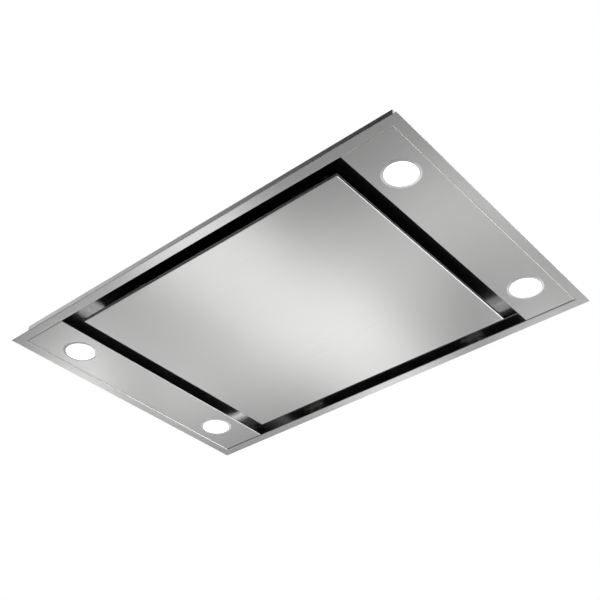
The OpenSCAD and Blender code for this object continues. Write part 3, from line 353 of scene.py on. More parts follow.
    def lay_grain(self) -> None:
        """Lays the map that scratches follow along the hood: U crosses them and V runs along them."""
        self.leave()
        mesh = self.obj.data
        layer = mesh.uv_layers.get(GRAIN) or mesh.uv_layers.new(name=GRAIN)
        mesh.uv_layers.active = layer
        for face in mesh.polygons:
            n = face.normal
            steep = max(abs(n.x), abs(n.y)) > abs(n.z)
            wall_x = steep and abs(n.x) >= abs(n.y)
            wall_y = steep and not wall_x
            for loop in face.loop_indices:
                p = mesh.vertices[mesh.loops[loop].vertex_index].co
                layer.data[loop].uv = (p.z if wall_y else p.y, p.z if wall_x else p.x)

    def finish(
        self, finishes: "Finishes", body: str, slot: str, stands_for: Sequence[str], smooth: float = 30
    ) -> bpy.types.Object:
        """Dresses the piece and hands it to the frame.

        Args:
            finishes: The hood's finishes.
            body: The body that it moves with.
            slot: The record's material slot, whose finish it gets.
            stands_for: The solids that it replaces.
            smooth: Edges that turn by less than this many degrees are shaded smooth.

        Returns:
            The finished object.
        """
        self.leave()
        bpy.ops.object.shade_smooth_by_angle(angle=math.radians(smooth))
        self.modify("WEIGHTED_NORMAL", mode="FACE_AREA", weight=100, keep_sharp=True)
        self.obj.data.materials.clear()
        self.obj.data.materials.append(finishes[slot])
        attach(self.obj, body)
        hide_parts(*stands_for)
        self.replaced.update(stands_for)
        faces = sum(len(p.vertices) - 2 for p in self.obj.data.polygons)
        log.info("piece %s on %s: %d triangles", self.obj.name, body, faces)
        return self.obj


# Finishes


class Coat:
    """Lays out the nodes of one material round its main shader."""

    def __init__(self, name: str) -> None:
        """Starts a material with a main shader and an output.

        Args:
            name: Name of the material.
        """
        self.material = bpy.data.materials.new(name)
        self.material.use_nodes = True
        self.tree = self.material.node_tree
        self.tree.nodes.clear()
        self.output = self.add("ShaderNodeOutputMaterial")
        self.shader = self.add("ShaderNodeBsdfPrincipled")
        self.wire(self.shader, "BSDF", self.output, "Surface")

    def add(self, kind: str, **values: object) -> Node:
        """Adds a node.

        Args:
            kind: Blender's name of the node.
            **values: Properties of the node, or values of its inputs with _ for each space.

        Returns:
            The node.
        """
        node = self.tree.nodes.new(kind)
        for key, value in values.items():
            words = key.replace("_", " ")
            if words in node.inputs:
                node.inputs[words].default_value = value
            else:
                setattr(node, key, value)
        return node

    def wire(self, a: Node, out: str | int, b: Node, into: str | int) -> None:
        """Links an output of one node to an input of another."""
        self.tree.links.new(a.outputs[out], b.inputs[into])

    def set(self, **values: object) -> None:
        """Sets uniform values on the main shader's own inputs, with _ for each space."""
        for key, value in values.items():
            self.shader.inputs[key.replace("_", " ")].default_value = value

    def place(self, scale: Point = (1, 1, 1), turn: Point = (0, 0, 0), shift: Point = (0, 0, 0)) -> Node:
        """Adds object coordinates, scaled, turned and shifted.

        Args:
            scale: How often the pattern repeats along X, Y and Z.
            turn: Its turn about each, in radians.
            shift: Its shift along each.

        Returns:
            The Mapping node.
        """
        where = self.add("ShaderNodeTexCoord")
        fit = self.add("ShaderNodeMapping", Scale=scale, Rotation=turn, Location=shift)
        self.wire(where, "Object", fit, "Vector")
        return fit

    def along_grain(self, scale: Point) -> Node:
        """Adds the sheet's grain map, scaled.

        Args:
            scale: How often the pattern repeats across and along the grain.

        Returns:
            The Mapping node.
        """
        where = self.add("ShaderNodeUVMap", uv_map=GRAIN)
        fit = self.add("ShaderNodeMapping", Scale=scale)
        self.wire(where, "UV", fit, "Vector")
        return fit

    def noise(
        self, scale: float, octaves: float, roughness: float = 0.5, place: Node | None = None
    ) -> Node:
        """Adds a noise pattern.

        Args:
            scale: Patches in each unit of its coordinates.
            octaves: Number of finer patterns laid over the first.
            roughness: Weight of the finer ones.
            place: Node of its coordinates; object coordinates if there is none.

        Returns:
            The Noise Texture node.
        """
        if place is None:
            place = self.place()
        node = self.add("ShaderNodeTexNoise", Scale=scale, Detail=octaves, Roughness=roughness)
        self.wire(place, "Vector", node, "Vector")
        return node

    def tint(self, source: Node, out: str | int, low: Colour, high: Colour) -> None:
        """Turns a pattern into a colour between two tones, wired to the base colour.

        Args:
            source: Node of the pattern.
            out: Its output.
            low: Tone where the pattern is low.
            high: Tone where the pattern is high.
        """
        ramp = self.add("ShaderNodeValToRGB")
        for stop, position, tone in zip(ramp.color_ramp.elements, (NOISE_LOW, NOISE_HIGH), (low, high)):
            stop.position = position
            stop.color = (*tone, 1)
        self.wire(source, out, ramp, "Fac")
        self.wire(ramp, "Color", self.shader, "Base Color")

    def glow(self, source: Node, low: Colour, high: Colour) -> None:
        """Turns a pattern's factor into light between two tones, given off by the surface.

        Args:
            source: Node of the pattern.
            low: Light where the pattern is low.
            high: Light where the pattern is high.
        """
        ramp = self.add("ShaderNodeValToRGB")
        for stop, tone in zip(ramp.color_ramp.elements, (low, high)):
            stop.color = (*tone, 1)
        self.wire(source, "Fac", ramp, "Fac")
        self.wire(ramp, "Color", self.shader, "Emission Color")

    def rough(self, source: Node, out: str | int, low: float, high: float) -> None:
        """Varies the roughness with a pattern.

        Args:
            source: Node of the pattern.
            out: Its output.
            low: Roughness where the pattern is low.
            high: Roughness where the pattern is high.
        """
        spread = self.add(
            "ShaderNodeMapRange", From_Min=NOISE_LOW, From_Max=NOISE_HIGH, To_Min=low, To_Max=high
        )
        self.wire(source, out, spread, "Value")
        self.wire(spread, "Result", self.shader, "Roughness")

    def vary(self, source: Node, tone: Colour, tones: Pair, roughness: float, roughs: Pair) -> None:
        """Varies the colour and the roughness with one noise pattern.

        Args:
            source: Node of the pattern.
            tone: The plain colour.
            tones: What it is multiplied by where the pattern is low, and where it is high.
            roughness: The plain roughness.
            roughs: What that is multiplied by, likewise.
        """
        self.tint(source, "Fac", shade(tone, tones[0]), shade(tone, tones[1]))
        self.rough(source, "Fac", roughness * roughs[0], roughness * roughs[1])

    def bump(self, source: Node, out: str | int, relief: Pair) -> None:
        """Raises a pattern as a relief.

        Args:
            source: Node of the pattern.
            out: Its output.
            relief: Strength of the relief, and its depth in metres.
        """
        node = self.add("ShaderNodeBump", Strength=relief[0], Distance=relief[1])
        self.wire(source, out, node, "Height")
        self.wire(node, "Normal", self.shader, "Normal")


def face_out(obj: bpy.types.Object, coat: Material, test: Callable[[Vector, Vector], bool]) -> None:
    """Gives some faces of a finished piece a second finish.

    Args:
        obj: The finished piece.
        coat: The second finish.
        test: Takes a face's middle and normal, and says whether it gets that finish.
    """
    obj.data.materials.append(coat)
    for face in obj.data.polygons:
        if test(face.center, face.normal):
            face.material_index = len(obj.data.materials) - 1


def shade(tone: Colour, by: float) -> Colour:
    """A tone made lighter or darker by a factor."""
    return (tone[0] * by, tone[1] * by, tone[2] * by)


def grey(level: float) -> Colour:
    """A neutral tone."""
    return (level, level, level)


@dataclass(frozen=True)
class BrushedSteel:
    """Stainless sheet with fine parallel scratches, which draw its highlights out across them."""

    name: str = "brushed_steel"
    tone: Colour = (0.52, 0.52, 0.516)
    tones: Pair = (0.97, 1.03)
    roughness: float = 0.2
    roughs: Pair = (1.015, 0.985)
    stretch: float = 0.6
    scratch: float = 0.004
    length: float = 0.08
    octaves: float = 5.0
    fineness: float = 0.8
    relief: Pair = (0.03, 0.00001)

    def make(self) -> Material:
        """Builds the material on the sheet's grain map.

        Returns:
            The material.
        """
        coat = Coat(self.name)
        coat.set(Metallic=1.0, Anisotropic=self.stretch)
        place = coat.along_grain((1 / self.scratch, 1 / self.length, 1))
        fine = coat.noise(1.0, self.octaves, self.fineness, place)
        coat.vary(fine, self.tone, self.tones, self.roughness, self.roughs)
        coat.bump(fine, "Fac", self.relief)
        tangent = coat.add("ShaderNodeTangent", direction_type="UV_MAP", uv_map=GRAIN)
        coat.wire(tangent, "Tangent", coat.shader, "Tangent")
        return coat.material


@dataclass(frozen=True)
class EvenSurface:
    """Surface of one colour, which drifts a little from place to place, over a fine relief."""

    name: str
    tone: Colour
    roughness: float
    tones: Pair
    roughs: Pair
    clouds: tuple[float, ...]
    grain: Pair
    relief: Pair
    metal: float
    gloss: float = 0.5

    def make(self) -> Material:
        """Builds the material on object coordinates.

        Returns:
            The material.
        """
        coat = Coat(self.name)
        coat.set(Metallic=self.metal, Specular_IOR_Level=self.gloss)
        coat.vary(coat.noise(*self.clouds), self.tone, self.tones, self.roughness, self.roughs)
        coat.bump(coat.noise(*self.grain), "Fac", self.relief)
        return coat.material


@dataclass(frozen=True)
class BrightSteel(EvenSurface):
    """Cold-rolled stainless sheet, nearly a mirror, with the slight waves of thin sheet."""

    roughness: float = 0.2
    tones: Pair = (0.95, 1.04)
    roughs: Pair = (1.1, 0.9)
    clouds: tuple[float, ...] = (60, 4)
    grain: Pair = (14, 1)
    relief: Pair = (0.1, 0.0001)
    metal: float = 1.0


@dataclass(frozen=True)
class SatinAluminium(EvenSurface):
    """Aluminium with a soft satin face: pressed, turned or anodised."""

    name: str = "satin_aluminium"
    tone: Colour = (0.74, 0.75, 0.76)
    roughness: float = 0.34
    tones: Pair = (0.94, 1.05)
    roughs: Pair = (0.88, 1.12)
    clouds: tuple[float, ...] = (260, 4, 0.6)
    grain: Pair = (2600, 2)
    relief: Pair = (0.12, 0.00004)
    metal: float = 1.0


@dataclass(frozen=True)
class PowderCoat(EvenSurface):
    """Sprayed enamel or powder coat with a fine orange peel."""

    roughness: float = 0.5
    tones: Pair = (0.8, 1.3)
    roughs: Pair = (0.9, 1.12)
    clouds: tuple[float, ...] = (45, 5, 0.65)
    grain: Pair = (700, 2)
    relief: Pair = (0.3, 0.0001)
    metal: float = 0.0


@dataclass(frozen=True)
class GalvanisedSheet:
    """Zinc-dipped sheet with its crystals, dull grey with brighter flakes."""

    name: str = "galvanised_sheet"
    tone: Colour = (0.5, 0.52, 0.53)
    tones: Pair = (0.9, 1.1)
    roughness: Pair = (0.36, 0.52)
    metal: float = 0.75
    spangle: float = 0.012
    wander: float = 0.006
    bends: Pair = (70, 3)
    relief: Pair = (0.1, 0.0002)

    def make(self) -> Material:
        """Builds the material on object coordinates, which a noise bends so that no flake is straight.

        Returns:
            The material.
        """
        coat = Coat(self.name)
        coat.set(Metallic=self.metal)
        flakes = coat.add("ShaderNodeTexVoronoi", Scale=1 / self.spangle, Randomness=1.0)
        bend = coat.noise(*self.bends)
        warp = coat.add("ShaderNodeVectorMath", operation="MULTIPLY_ADD")
        warp.inputs[1].default_value = (self.wander, self.wander, self.wander)
        coat.wire(bend, "Color", warp, 0)
        coat.wire(coat.place(), "Vector", warp, 2)
        coat.wire(warp, "Vector", flakes, "Vector")
        grains = coat.add("ShaderNodeSeparateColor")
        coat.wire(flakes, "Color", grains, "Color")
        coat.tint(grains, "Red", shade(self.tone, self.tones[0]), shade(self.tone, self.tones[1]))
        coat.rough(grains, "Green", *self.roughness)
        coat.bump(bend, "Fac", self.relief)
        return coat.material


@dataclass(frozen=True)
class PlatedSteel:
    """Zinc-plated pressed steel with a faint warm and blue cast."""

    name: str = "plated_steel"
    warm: Colour = (0.7, 0.66, 0.58)
    blue: Colour = (0.62, 0.67, 0.72)
    roughness: Pair = (0.24, 0.36)
    casts: Pair = (120, 3)
    pits: Pair = (900, 2)
    relief: Pair = (0.1, 0.00005)

    def make(self) -> Material:
        """Builds the material on object coordinates.

        Returns:
            The material.
        """
        coat = Coat(self.name)
        coat.set(Metallic=1.0)
        coat.tint(coat.noise(*self.casts), "Fac", self.warm, self.blue)
        pits = coat.noise(*self.pits)
        coat.rough(pits, "Fac", *self.roughness)
        coat.bump(pits, "Fac", self.relief)
        return coat.material


@dataclass(frozen=True)
class MouldedPlastic:
    """Injection-moulded plastic or rubber with a spark-eroded grain."""

    name: str
    tone: Colour
    roughness: float = 0.5
    grain: float = 1500
    tones: Pair = (0.88, 1.15)
    roughs: Pair = (0.92, 1.1)
    clouds: Pair = (80, 3)
    gloss: float = 0.45
    relief: Pair = (0.25, 0.00008)

    def make(self) -> Material:
        """Builds the material on object coordinates.

        Returns:
            The material.
        """
        coat = Coat(self.name)
        coat.set(Specular_IOR_Level=self.gloss)
        cells = coat.add("ShaderNodeTexVoronoi", Scale=self.grain)
        coat.wire(coat.place(), "Vector", cells, "Vector")
        coat.vary(coat.noise(*self.clouds), self.tone, self.tones, self.roughness, self.roughs)
        coat.bump(cells, "Distance", self.relief)
        return coat.material


@dataclass(frozen=True)
class LitLens:
    """Opal lens with its light on, frosted so finely that its glow hardly varies."""

    name: str = "lit_lens"
    strength: float = 1.6
    roughness: float = 0.32
    frost: Pair = (1800, 2)
    tones: tuple[Colour, Colour] = ((0.93, 0.93, 0.92), (0.98, 0.98, 0.97))
    light: tuple[Colour, Colour] = ((0.97, 0.97, 0.96), (1.0, 1.0, 0.99))
    relief: Pair = (0.2, 0.00005)

    def make(self) -> Material:
        """Builds the material on object coordinates.

        Returns:
            The material.
        """
        coat = Coat(self.name)
        coat.set(Roughness=self.roughness, Emission_Strength=self.strength)
        frost = coat.noise(*self.frost)
        coat.tint(frost, "Fac", *self.tones)
        coat.glow(frost, *self.light)
        coat.bump(frost, "Fac", self.relief)
        return coat.material


@dataclass(frozen=True)
class SolderMask:
    """Green circuit board with its tracks under the mask."""

    name: str = "solder_mask"
    fields: tuple[Colour, Colour] = ((0.02, 0.14, 0.06), (0.03, 0.17, 0.07))
    track: Colour = (0.08, 0.32, 0.13)
    track_width: float = 0.0005
    track_length: float = 0.021
    track_pitch: float = 0.0034
    roughness: Pair = (0.28, 0.4)
    clouds: Pair = (90, 2)
    gloss: float = 0.6
    relief: Pair = (0.3, 0.00005)

    def make(self) -> Material:
        """Builds the material on object coordinates, turned so that the tracks lie on the upright board.

        Returns:
            The material.
        """
        coat = Coat(self.name)
        coat.set(Specular_IOR_Level=self.gloss)
        tracks = coat.add(
            "ShaderNodeTexBrick", offset=0.5, squash=1.0, Scale=1.0, Mortar=(*self.track, 1),
            Mortar_Size=self.track_width, Brick_Width=self.track_length, Row_Height=self.track_pitch,
            Color1=(*self.fields[0], 1), Color2=(*self.fields[1], 1),
        )
        coat.wire(coat.place(turn=(0, math.pi / 2, 0)), "Vector", tracks, "Vector")
        coat.wire(tracks, "Color", coat.shader, "Base Color")
        coat.rough(coat.noise(*self.clouds), "Fac", *self.roughness)
        coat.bump(tracks, "Fac", self.relief)
        return coat.material


class Finishes:
    """The hood's finishes, by the record's slot, and those of the channel's walls, each made once."""

    def __init__(self) -> None:
        """Makes every finish that the hood needs."""
        self.coats: dict[str, Material] = {
            "brushed_panel": BrushedSteel().make(),
            # The deck gets bright steel at a darker tone than the face's steel: painted shade for the deck
            # deep in the channel.
            "mirror_deck": BrightSteel("deck_steel_painted_shade", grey(0.36)).make(),
            "channel_wall": BrightSteel("wall_steel", grey(0.55)).make(),
            # The light strips' walls along the channel get bright steel darker than the frame's channel
            # walls: painted shade inside the channel.
            "strip_wall": BrightSteel("strip_side_steel_painted_shade", grey(0.4)).make(),
            "zinc_sheet": GalvanisedSheet().make(),
            "aluminium": SatinAluminium().make(),
            "spot_ring": SatinAluminium("spot_ring", grey(0.72), 0.4).make(),
            "black_sheet": PowderCoat("black_sheet", (0.022, 0.022, 0.023), 0.55).make(),
            "grey_plastic": MouldedPlastic("grey_plastic", (0.12, 0.125, 0.13)).make(),
            "black_rubber": MouldedPlastic("black_rubber", grey(0.028), 0.72, 2400).make(),
            "spot_lens": LitLens().make(),
            "board": SolderMask().make(),
            "filter_mesh": SatinAluminium("filter_mesh", (0.7, 0.71, 0.72), 0.42).make(),
            "plated_steel": PlatedSteel().make(),
            "motor_black": PowderCoat("motor_black", (0.04, 0.04, 0.044), 0.34, grain=(420, 2)).make(),
        }

    def __getitem__(self, slot: str) -> Material:
        """The finish of a slot of the record, or of one of the channel's walls."""
        return self.coats[slot]


# Sub-assemblies


@dataclass
class FaceFrame:
    """Hemmed rim and the wall behind it, folded from one sheet and mitred at the corners."""

    length: float = 0.9
    width: float = 0.6
    rim: float = 0.02
    hem: float = 0.00075
    fold: float = 0.0015
    wall: float = 0.001
    height: float = 0.035

    def build(self, finishes: Finishes) -> None:
        """Folds the frame; the photo shows one grain over the whole face, along the hood's length.

        Args:
            finishes: The hood's finishes.
        """
        hem_top = 2 * self.hem
        inner = self.rim - self.wall
        outline = [
            (self.hem, 0.0),
            *arc((self.rim - self.fold, self.fold), self.fold, -90, 0, 5),
            (self.rim, self.height),
            (inner, self.height),
            (inner, hem_top),
            *arc((self.hem, self.hem), self.hem, 90, 255, 7),
        ]
        piece = Workpiece.folded("face_frame_sheet", (self.length / 2, self.width / 2), outline)
        piece.lay_grain()
        done = piece.finish(finishes, "hood", "brushed_panel", ["face_frame"])
        face_out(done, finishes["channel_wall"], lambda c, n: c.z > hem_top and abs(n.z) < 0.5)


@dataclass
class LightPanels:
    """The two strips that hold the spots: tray, tall wall along the channel, and flange on the deck."""

    inner: float = 0.33
    outer: float = 0.4296
    half_width: float = 0.279
    face: float = 0.001
    lip: float = 0.013
    top: float = 0.034
    flange: float = 0.014
    sheet: float = 0.001
    fold: float = 0.0011
    spot: Pair = (0.38, 0.19)
    hole: float = 0.0296
    drill: float = 0.008
    sides: int = 96

    def shape(self) -> Workpiece:
        """Folds the right-hand strip.

        Returns:
            The strip, pierced for its spots.
        """
        low = (self.inner, -self.half_width, self.face)
        piece = Workpiece.block("light_strip_right", low, (self.outer, self.half_width, self.top))
        piece.cut((0, 0, self.lip), (0, 0, 1))
        near, top = self.inner + TINY, self.top - TINY
        piece.pick(Element.FACES, lambda c, n: n.z > FACING or (c.z > self.lip and c.x > near))
        bpy.ops.mesh.delete(type="FACE")
        piece.pick(Element.EDGES, lambda a, b: max(a.z, b.z) < self.face + TINY)
        piece.bevel(self.fold, 5)
        piece.pick(Element.EDGES, lambda a, b: min(a.z, b.z) > top)
        bpy.ops.mesh.extrude_edges_move()
        bpy.ops.transform.translate(value=(self.flange, 0, 0))
        piece.pick(Element.EDGES, lambda a, b: min(a.z, b.z) > top and max(a.x, b.x) < near)
        piece.bevel(self.fold, 3)
        piece.sheet(self.sheet)
        for side in (-1, 1):
            centre = (self.spot[0], side * self.spot[1], self.face)
            drill = Workpiece.start(
                "spot_drill", bpy.ops.mesh.primitive_cylinder_add,
                vertices=self.sides, radius=self.hole, depth=self.drill, location=centre,
            )
            piece.pierce(drill)
        return piece

    def build(self, finishes: Finishes) -> None:
        """Makes the right strip, and the left one as a copy turned half round.

        Args:
            finishes: The hood's finishes.
        """
        right = self.shape()
        left = right.copy("light_strip_left")
        left.turn(180)
        edge, above = self.inner + self.sheet + TINY, self.face + self.fold
        for piece, end in ((right, End.RIGHT), (left, End.LEFT)):
            piece.lay_grain()
            done = piece.finish(finishes, "hood", "brushed_panel", [f"light_panel_{end.value}"])
            # The strips' walls along the channel take the darker steel, which is painted shade.
            face_out(done, finishes["strip_wall"], lambda c, n: abs(c.x) < edge and c.z > above)


@dataclass
class CentralPanel:
    """The brushed tray in the middle of the face, its edges folded up."""

    half_length: float = 0.3
    half_width: float = 0.25
    face: float = 0.002
    top: float = 0.0082
    sheet: float = 0.001
    fold: float = 0.0015

    def build(self, finishes: Finishes) -> None:
        """Folds the tray and brushes it along its length.

        Args:
            finishes: The hood's finishes.
        """
        x, y = self.half_length, self.half_width
        piece = Workpiece.block("panel_tray", (-x, -y, self.face), (x, y, self.top))
        piece.pick(Element.FACES, lambda c, n: n.z > FACING)
        bpy.ops.mesh.delete(type="ONLY_FACE")
        piece.pick(Element.EDGES, lambda a, b: max(a.z, b.z) < self.face + TINY)
        piece.bevel(self.fold, 6)
        piece.sheet(self.sheet)
        piece.lay_grain()
        piece.finish(finishes, "panel", "brushed_panel", ["panel_face"])


@dataclass
class Spots:
    """Four round spots: turned bezel with a shallow cone, and the opal lens that fills it.

    The bezel's lip and the lens's ledge are given by their heights above the lens's face.
    """

    places: tuple[Pair, ...] = ((-0.38, -0.19), (0.38, -0.19), (0.38, 0.19), (-0.38, 0.19))
    sides: int = 96
    rim: float = 0.033
    dish: float = 0.0009
    dish_power: float = 1.1
    crest: float = 0.028
    seat: float = 0.001
    barrel: float = 0.0293
    barrel_wall: float = 0.001
    barrel_top: float = 0.012
    lens: float = 0.0275
    lens_face: float = 0.0003
    lens_top: float = 0.0028
    lens_gap: float = 0.0001
    lens_edge: float = 0.0003
    lip: float = 0.0006
    ledge: float = 0.0007
    ledge_in: float = 0.0013
    crown: float = 0.0002
    steps: int = 6

    def bezel_outline(self) -> Outline:
        """Draws the cross-section of the bezel.

        Returns:
            Its points, from the outer edge down the cone, over the crest and up the barrel.
        """
        cone = []
        for k in range(self.steps + 1):
            r = self.rim + (self.crest - self.rim) * k / self.steps
            cone.append((r, self.dish * (1 - k / self.steps) ** self.dish_power))
        edge, lip = self.lens + self.lens_gap, self.lens_face + self.lip
        inside = self.barrel - self.barrel_wall
        return [
            *cone,
            (edge + self.lens_gap, self.lens_gap),
            (edge, lip),
            (inside, lip),
            (inside, self.barrel_top),
            (self.barrel, self.barrel_top),
            (self.barrel, self.seat),
            (self.rim, self.seat),
        ]

    def lens_outline(self) -> Outline:
        """Draws the cross-section of the lens.

        Returns:
            Its points, from the middle of the back over the step to the crowned face.
        """
        step, seat = self.barrel - self.ledge_in, self.lens_face + self.ledge
        crown = []
        for k in range(self.steps - 1, -1, -1):
            share = k / self.steps
            crown.append((self.lens * share, self.lens_face - self.crown * (1 - share**2)))
        return [
            (0.0, self.lens_top),
            (step, self.lens_top),
            (step, seat),
            (self.lens, seat),
            (self.lens, self.lens_face + self.lens_edge),
            (self.lens - self.lens_edge, self.lens_face),
            *crown,
        ]

    def build(self, finishes: Finishes) -> None:
        """Turns one bezel and one lens, and copies them to the four places.

        Args:
            finishes: The hood's finishes.
        """
        bezel = Workpiece.turned("spot_ring_0", self.bezel_outline(), self.sides)
        lens = Workpiece.turned("spot_glass_0", self.lens_outline(), self.sides)
        for number, (x, y) in enumerate(self.places, 1):
            for model, plain, slot, node, smooth in (
                (bezel, "spot_ring", "spot_ring", "spot_bezel", 12),
                (lens, "spot_glass", "spot_lens", "spot_lens", 40),
            ):
                piece = model.copy(f"{plain}_{number}")
                piece.shift((x, y, 0))
                piece.finish(finishes, "hood", slot, [f"{node}_{number}"], smooth)
        bezel.drop()
        lens.drop()


@dataclass
class GreaseFilters:
    """Pleated layers of expanded metal, and the latch that frees each filter."""

    middle: float = 0.125
    low: Pair = (0.0123, -0.1827)
    high: Pair = (0.2377, 0.1827)
    floor: float = 0.0359
    pleat: float = 0.0052
    folds: int = 28
    strand: float = 0.0009
    cell: float = 0.0081
    corner: Pair = (0.0308, -0.1497)
    catch_half: float = 0.0215
    catch_ys: Pair = (-0.19, -0.163)
    catch_zs: Pair = (0.0353, 0.0373)
    grip_half: float = 0.017
    grip_ys: Pair = (-0.178, -0.175)
    grip_drop: float = 0.0083
    grip_soft: float = 0.0002
    band: float = 0.0013
    bands: int = 5
    groove_edge: float = 0.0002
    groove_depth: float = 0.00045

    def mesh(self) -> Workpiece:
        """Pleats a grid, opens it into diamonds and draws them as strands.

        Returns:
            The right filter's mesh.
        """
        length, width = (high - low for low, high in zip(self.low, self.high))
        columns, rows = 2 * self.folds, round(width / self.cell)
        length, width = length - self.strand, width - self.strand
        piece = Workpiece.start(
            "filter_strands_right", bpy.ops.mesh.primitive_grid_add, (length, width, 1),
            x_subdivisions=columns, y_subdivisions=rows, size=1, location=(self.middle, 0, self.floor),
        )
        step, start = length / columns, self.middle - length / 2

        def line(p: Vector) -> int:
            """Number of the grid line that a point lies on."""
            return round((p.x - start) / step)

        piece.pick(Element.POINTS, lambda p: line(p) % 4 == 2)
        bpy.ops.transform.translate(value=(0, 0, self.pleat))
        piece.pick(Element.POINTS, lambda p: line(p) % 2 == 1)
        bpy.ops.transform.translate(value=(0, 0, self.pleat / 2))
        side, end = self.corner
        piece.pick(Element.FACES, lambda c, n: abs(c.x - self.middle) < side and c.y < end)
        bpy.ops.mesh.delete(type="FACE")
        piece.pick(Element.FACES, lambda c, n: True)
        bpy.ops.mesh.poke()
        piece.pick(Element.EDGES, lambda a, b: abs(a.y - b.y) < TINY or abs(a.x - b.x) < TINY)
        work = bmesh.from_edit_mesh(piece.obj.data)
        for edge in work.edges:
            edge.select_set(edge.select and len(edge.link_faces) == 2)
        bmesh.update_edit_mesh(piece.obj.data)
        bpy.ops.mesh.dissolve_edges(use_verts=False, use_face_split=False)
        piece.modify("WIREFRAME", thickness=self.strand, use_even_offset=False, use_replace=True)
        return piece

    def latch(self) -> Workpiece:
        """Shapes the right filter's latch: a plate with a grooved finger grip.

        Returns:
            The latch.
        """
        x, half, grip = self.middle, self.catch_half, self.grip_half
        (low_y, high_y), (low_z, high_z) = self.catch_ys, self.catch_zs
        piece = Workpiece.block("filter_catch_right", (x - half, low_y, low_z), (x + half, high_y, high_z))
        back, front = self.grip_ys
        for y in (back, front):
            piece.cut((0, y, 0), (0, 1, 0))
        for side in (-1, 1):
            piece.cut((x + side * grip, 0, 0), (1, 0, 0))
        piece.pick(
            Element.FACES, lambda c, n: n.z < -FACING and back < c.y < front and abs(c.x - x) < grip
        )
        bpy.ops.mesh.extrude_region_move(TRANSFORM_OT_translate={"value": (0, 0, -self.grip_drop)})
        foot = low_z - self.grip_drop
        for k in range(1, self.bands + 1):
            piece.cut((0, 0, foot + self.band * k), (0, 0, 1))
        top = foot + self.band * self.bands

        def grooved(c: Vector, n: Vector) -> bool:
            """Whether a face is one of the grip's bands that are pressed in."""
            return abs(n.y) > FACING and c.z < top and round((c.z - foot) / self.band - 0.5) in (1, 3)

        piece.pick(Element.FACES, grooved)
        bpy.ops.mesh.inset(thickness=self.groove_edge, depth=self.groove_depth, use_individual=True)
        piece.modify(
            "BEVEL", width=self.grip_soft, segments=2, limit_method="ANGLE",
            angle_limit=math.radians(50), harden_normals=False,
        )
        return piece

    def build(self, finishes: Finishes) -> None:
        """Makes the right filter's pieces, and the left ones as copies set over.

        Args:
            finishes: The hood's finishes.
        """
        strands, latch = self.mesh(), self.latch()
        for piece, plain, slot, node in (
            (strands, "filter_strands", "filter_mesh", "filter_mesh"),
            (latch, "filter_catch", "grey_plastic", "filter_latch"),
        ):
            other = piece.copy(f"{plain}_left")
            other.shift((-2 * self.middle, 0, 0))
            for work, end in ((piece, End.RIGHT), (other, End.LEFT)):
                body = f"latch_{end.value}" if node == "filter_latch" else "hood"
                work.finish(finishes, body, slot, [f"{node}_{end.value}"])


@dataclass
class DeckScrews:
    """Screws through the deck: pan heads with a cross recess, shanks and nuts."""

    corner: Pair = (0.264, 0.231)
    strip_x: float = 0.3375
    strip_ys: tuple[float, ...] = (-0.168, -0.056, 0.056, 0.168)
    strip_lift: float = 0.001
    deck: float = 0.034
    head: float = 0.0036
    head_height: float = 0.002
    head_round: float = 0.0012
    cross: Pair = (0.0018, 0.0004)
    cross_depth: float = 0.001
    shank: float = 0.0019
    shank_top: float = 0.004
    tip: float = 0.0004
    pitch: float = 0.0008
    thread: float = 0.00028
    nut: float = 0.0036
    nut_hole: float = 0.0018
    nut_height: float = 0.002
    sides: int = 24

    def screw(self, name: str) -> Workpiece:
        """Shapes one screw at the origin, head down and its head's seat at height zero.

        Args:
            name: Name of the piece.

        Returns:
            The screw.
        """
        r, h, s, soft = self.head, self.head_height, self.shank, self.head_round
        crown = []
        for degrees in (90, 68, 45, 22, 0):
            a = math.radians(degrees)
            crown.append((r - soft * (1 - math.cos(a)), soft * (1 - math.sin(a)) - h))
        threads = []
        z = self.pitch / 4
        while z + self.pitch < self.shank_top:
            threads += [(s, z), (s - self.thread, z + self.pitch / 2)]
            z += self.pitch
        outline = [
            (0.0, -h),
            *crown,
            (r, 0.0),
            *threads,
            (s, z),
            (s - self.tip, self.shank_top),
            (0.0, self.shank_top),
        ]
        piece = Workpiece.turned(name, outline, self.sides)
        for x, y in (self.cross, self.cross[::-1]):
            low, high = (-x, -y, -h - self.cross_depth), (x, y, -h + self.cross_depth)
            piece.pierce(Workpiece.block("cross_slot", low, high))
        return piece

    def build(self, finishes: Finishes) -> None:
        """Copies the corner screws and the strips' screws to their places, as one piece.

        Args:
            finishes: The hood's finishes.
        """
        corner = self.screw("deck_screw_set")
        strip = corner.copy("strip_screw")
        strip.turn(180, axis=0)
        r, hole, h = self.nut, self.nut_hole, self.nut_height
        nut = Workpiece.turned("nut", [(hole, 0.0), (r, 0.0), (r, h), (hole, h)], 6)
        nut.shift((0, 0, h))
        corner.join([nut])
        x, y = self.corner
        screws = []
        for side in (-1, 1):
            places = [(corner, (side * x, end * y, self.deck)) for end in (-1, 1)]
            places += [(strip, (side * self.strip_x, v, self.deck + self.strip_lift)) for v in self.strip_ys]
            for model, place in places:
                one = model.copy("deck_screw")
                one.shift(place)
                screws.append(one)
        corner.drop()
        strip.drop()
        whole = screws[0]
        whole.join(screws[1:])
        whole.obj.name = "deck_screw_set"
        whole.finish(finishes, "hood", "black_sheet", ["deck_screws"], 40)


def carry_over(finishes: Finishes) -> None:
    """Gives each solid that no new piece stands for its slot's finish; its shape is right as it is.

    Args:
        finishes: The hood's finishes.
    """
    for part in frame["record"]["subparts"]:
        name, slot = part["node"], part["material_slot"]
        if name in Workpiece.replaced:
            continue
        node = frame["nodes"][name]
        for place in node.material_slots:
            place.material = finishes[slot]
        if not node.material_slots:
            node.data.materials.append(finishes[slot])
        log.info("solid %s keeps its shape, finish %s", name, slot)


# Studio


@dataclass(frozen=True)
class SoftBox:
    """A flat lamp near the floor: its reach in X and Y, and how bright its face is, where 1 is white."""

    name: str
    x: Pair
    y: Pair
    glow: float


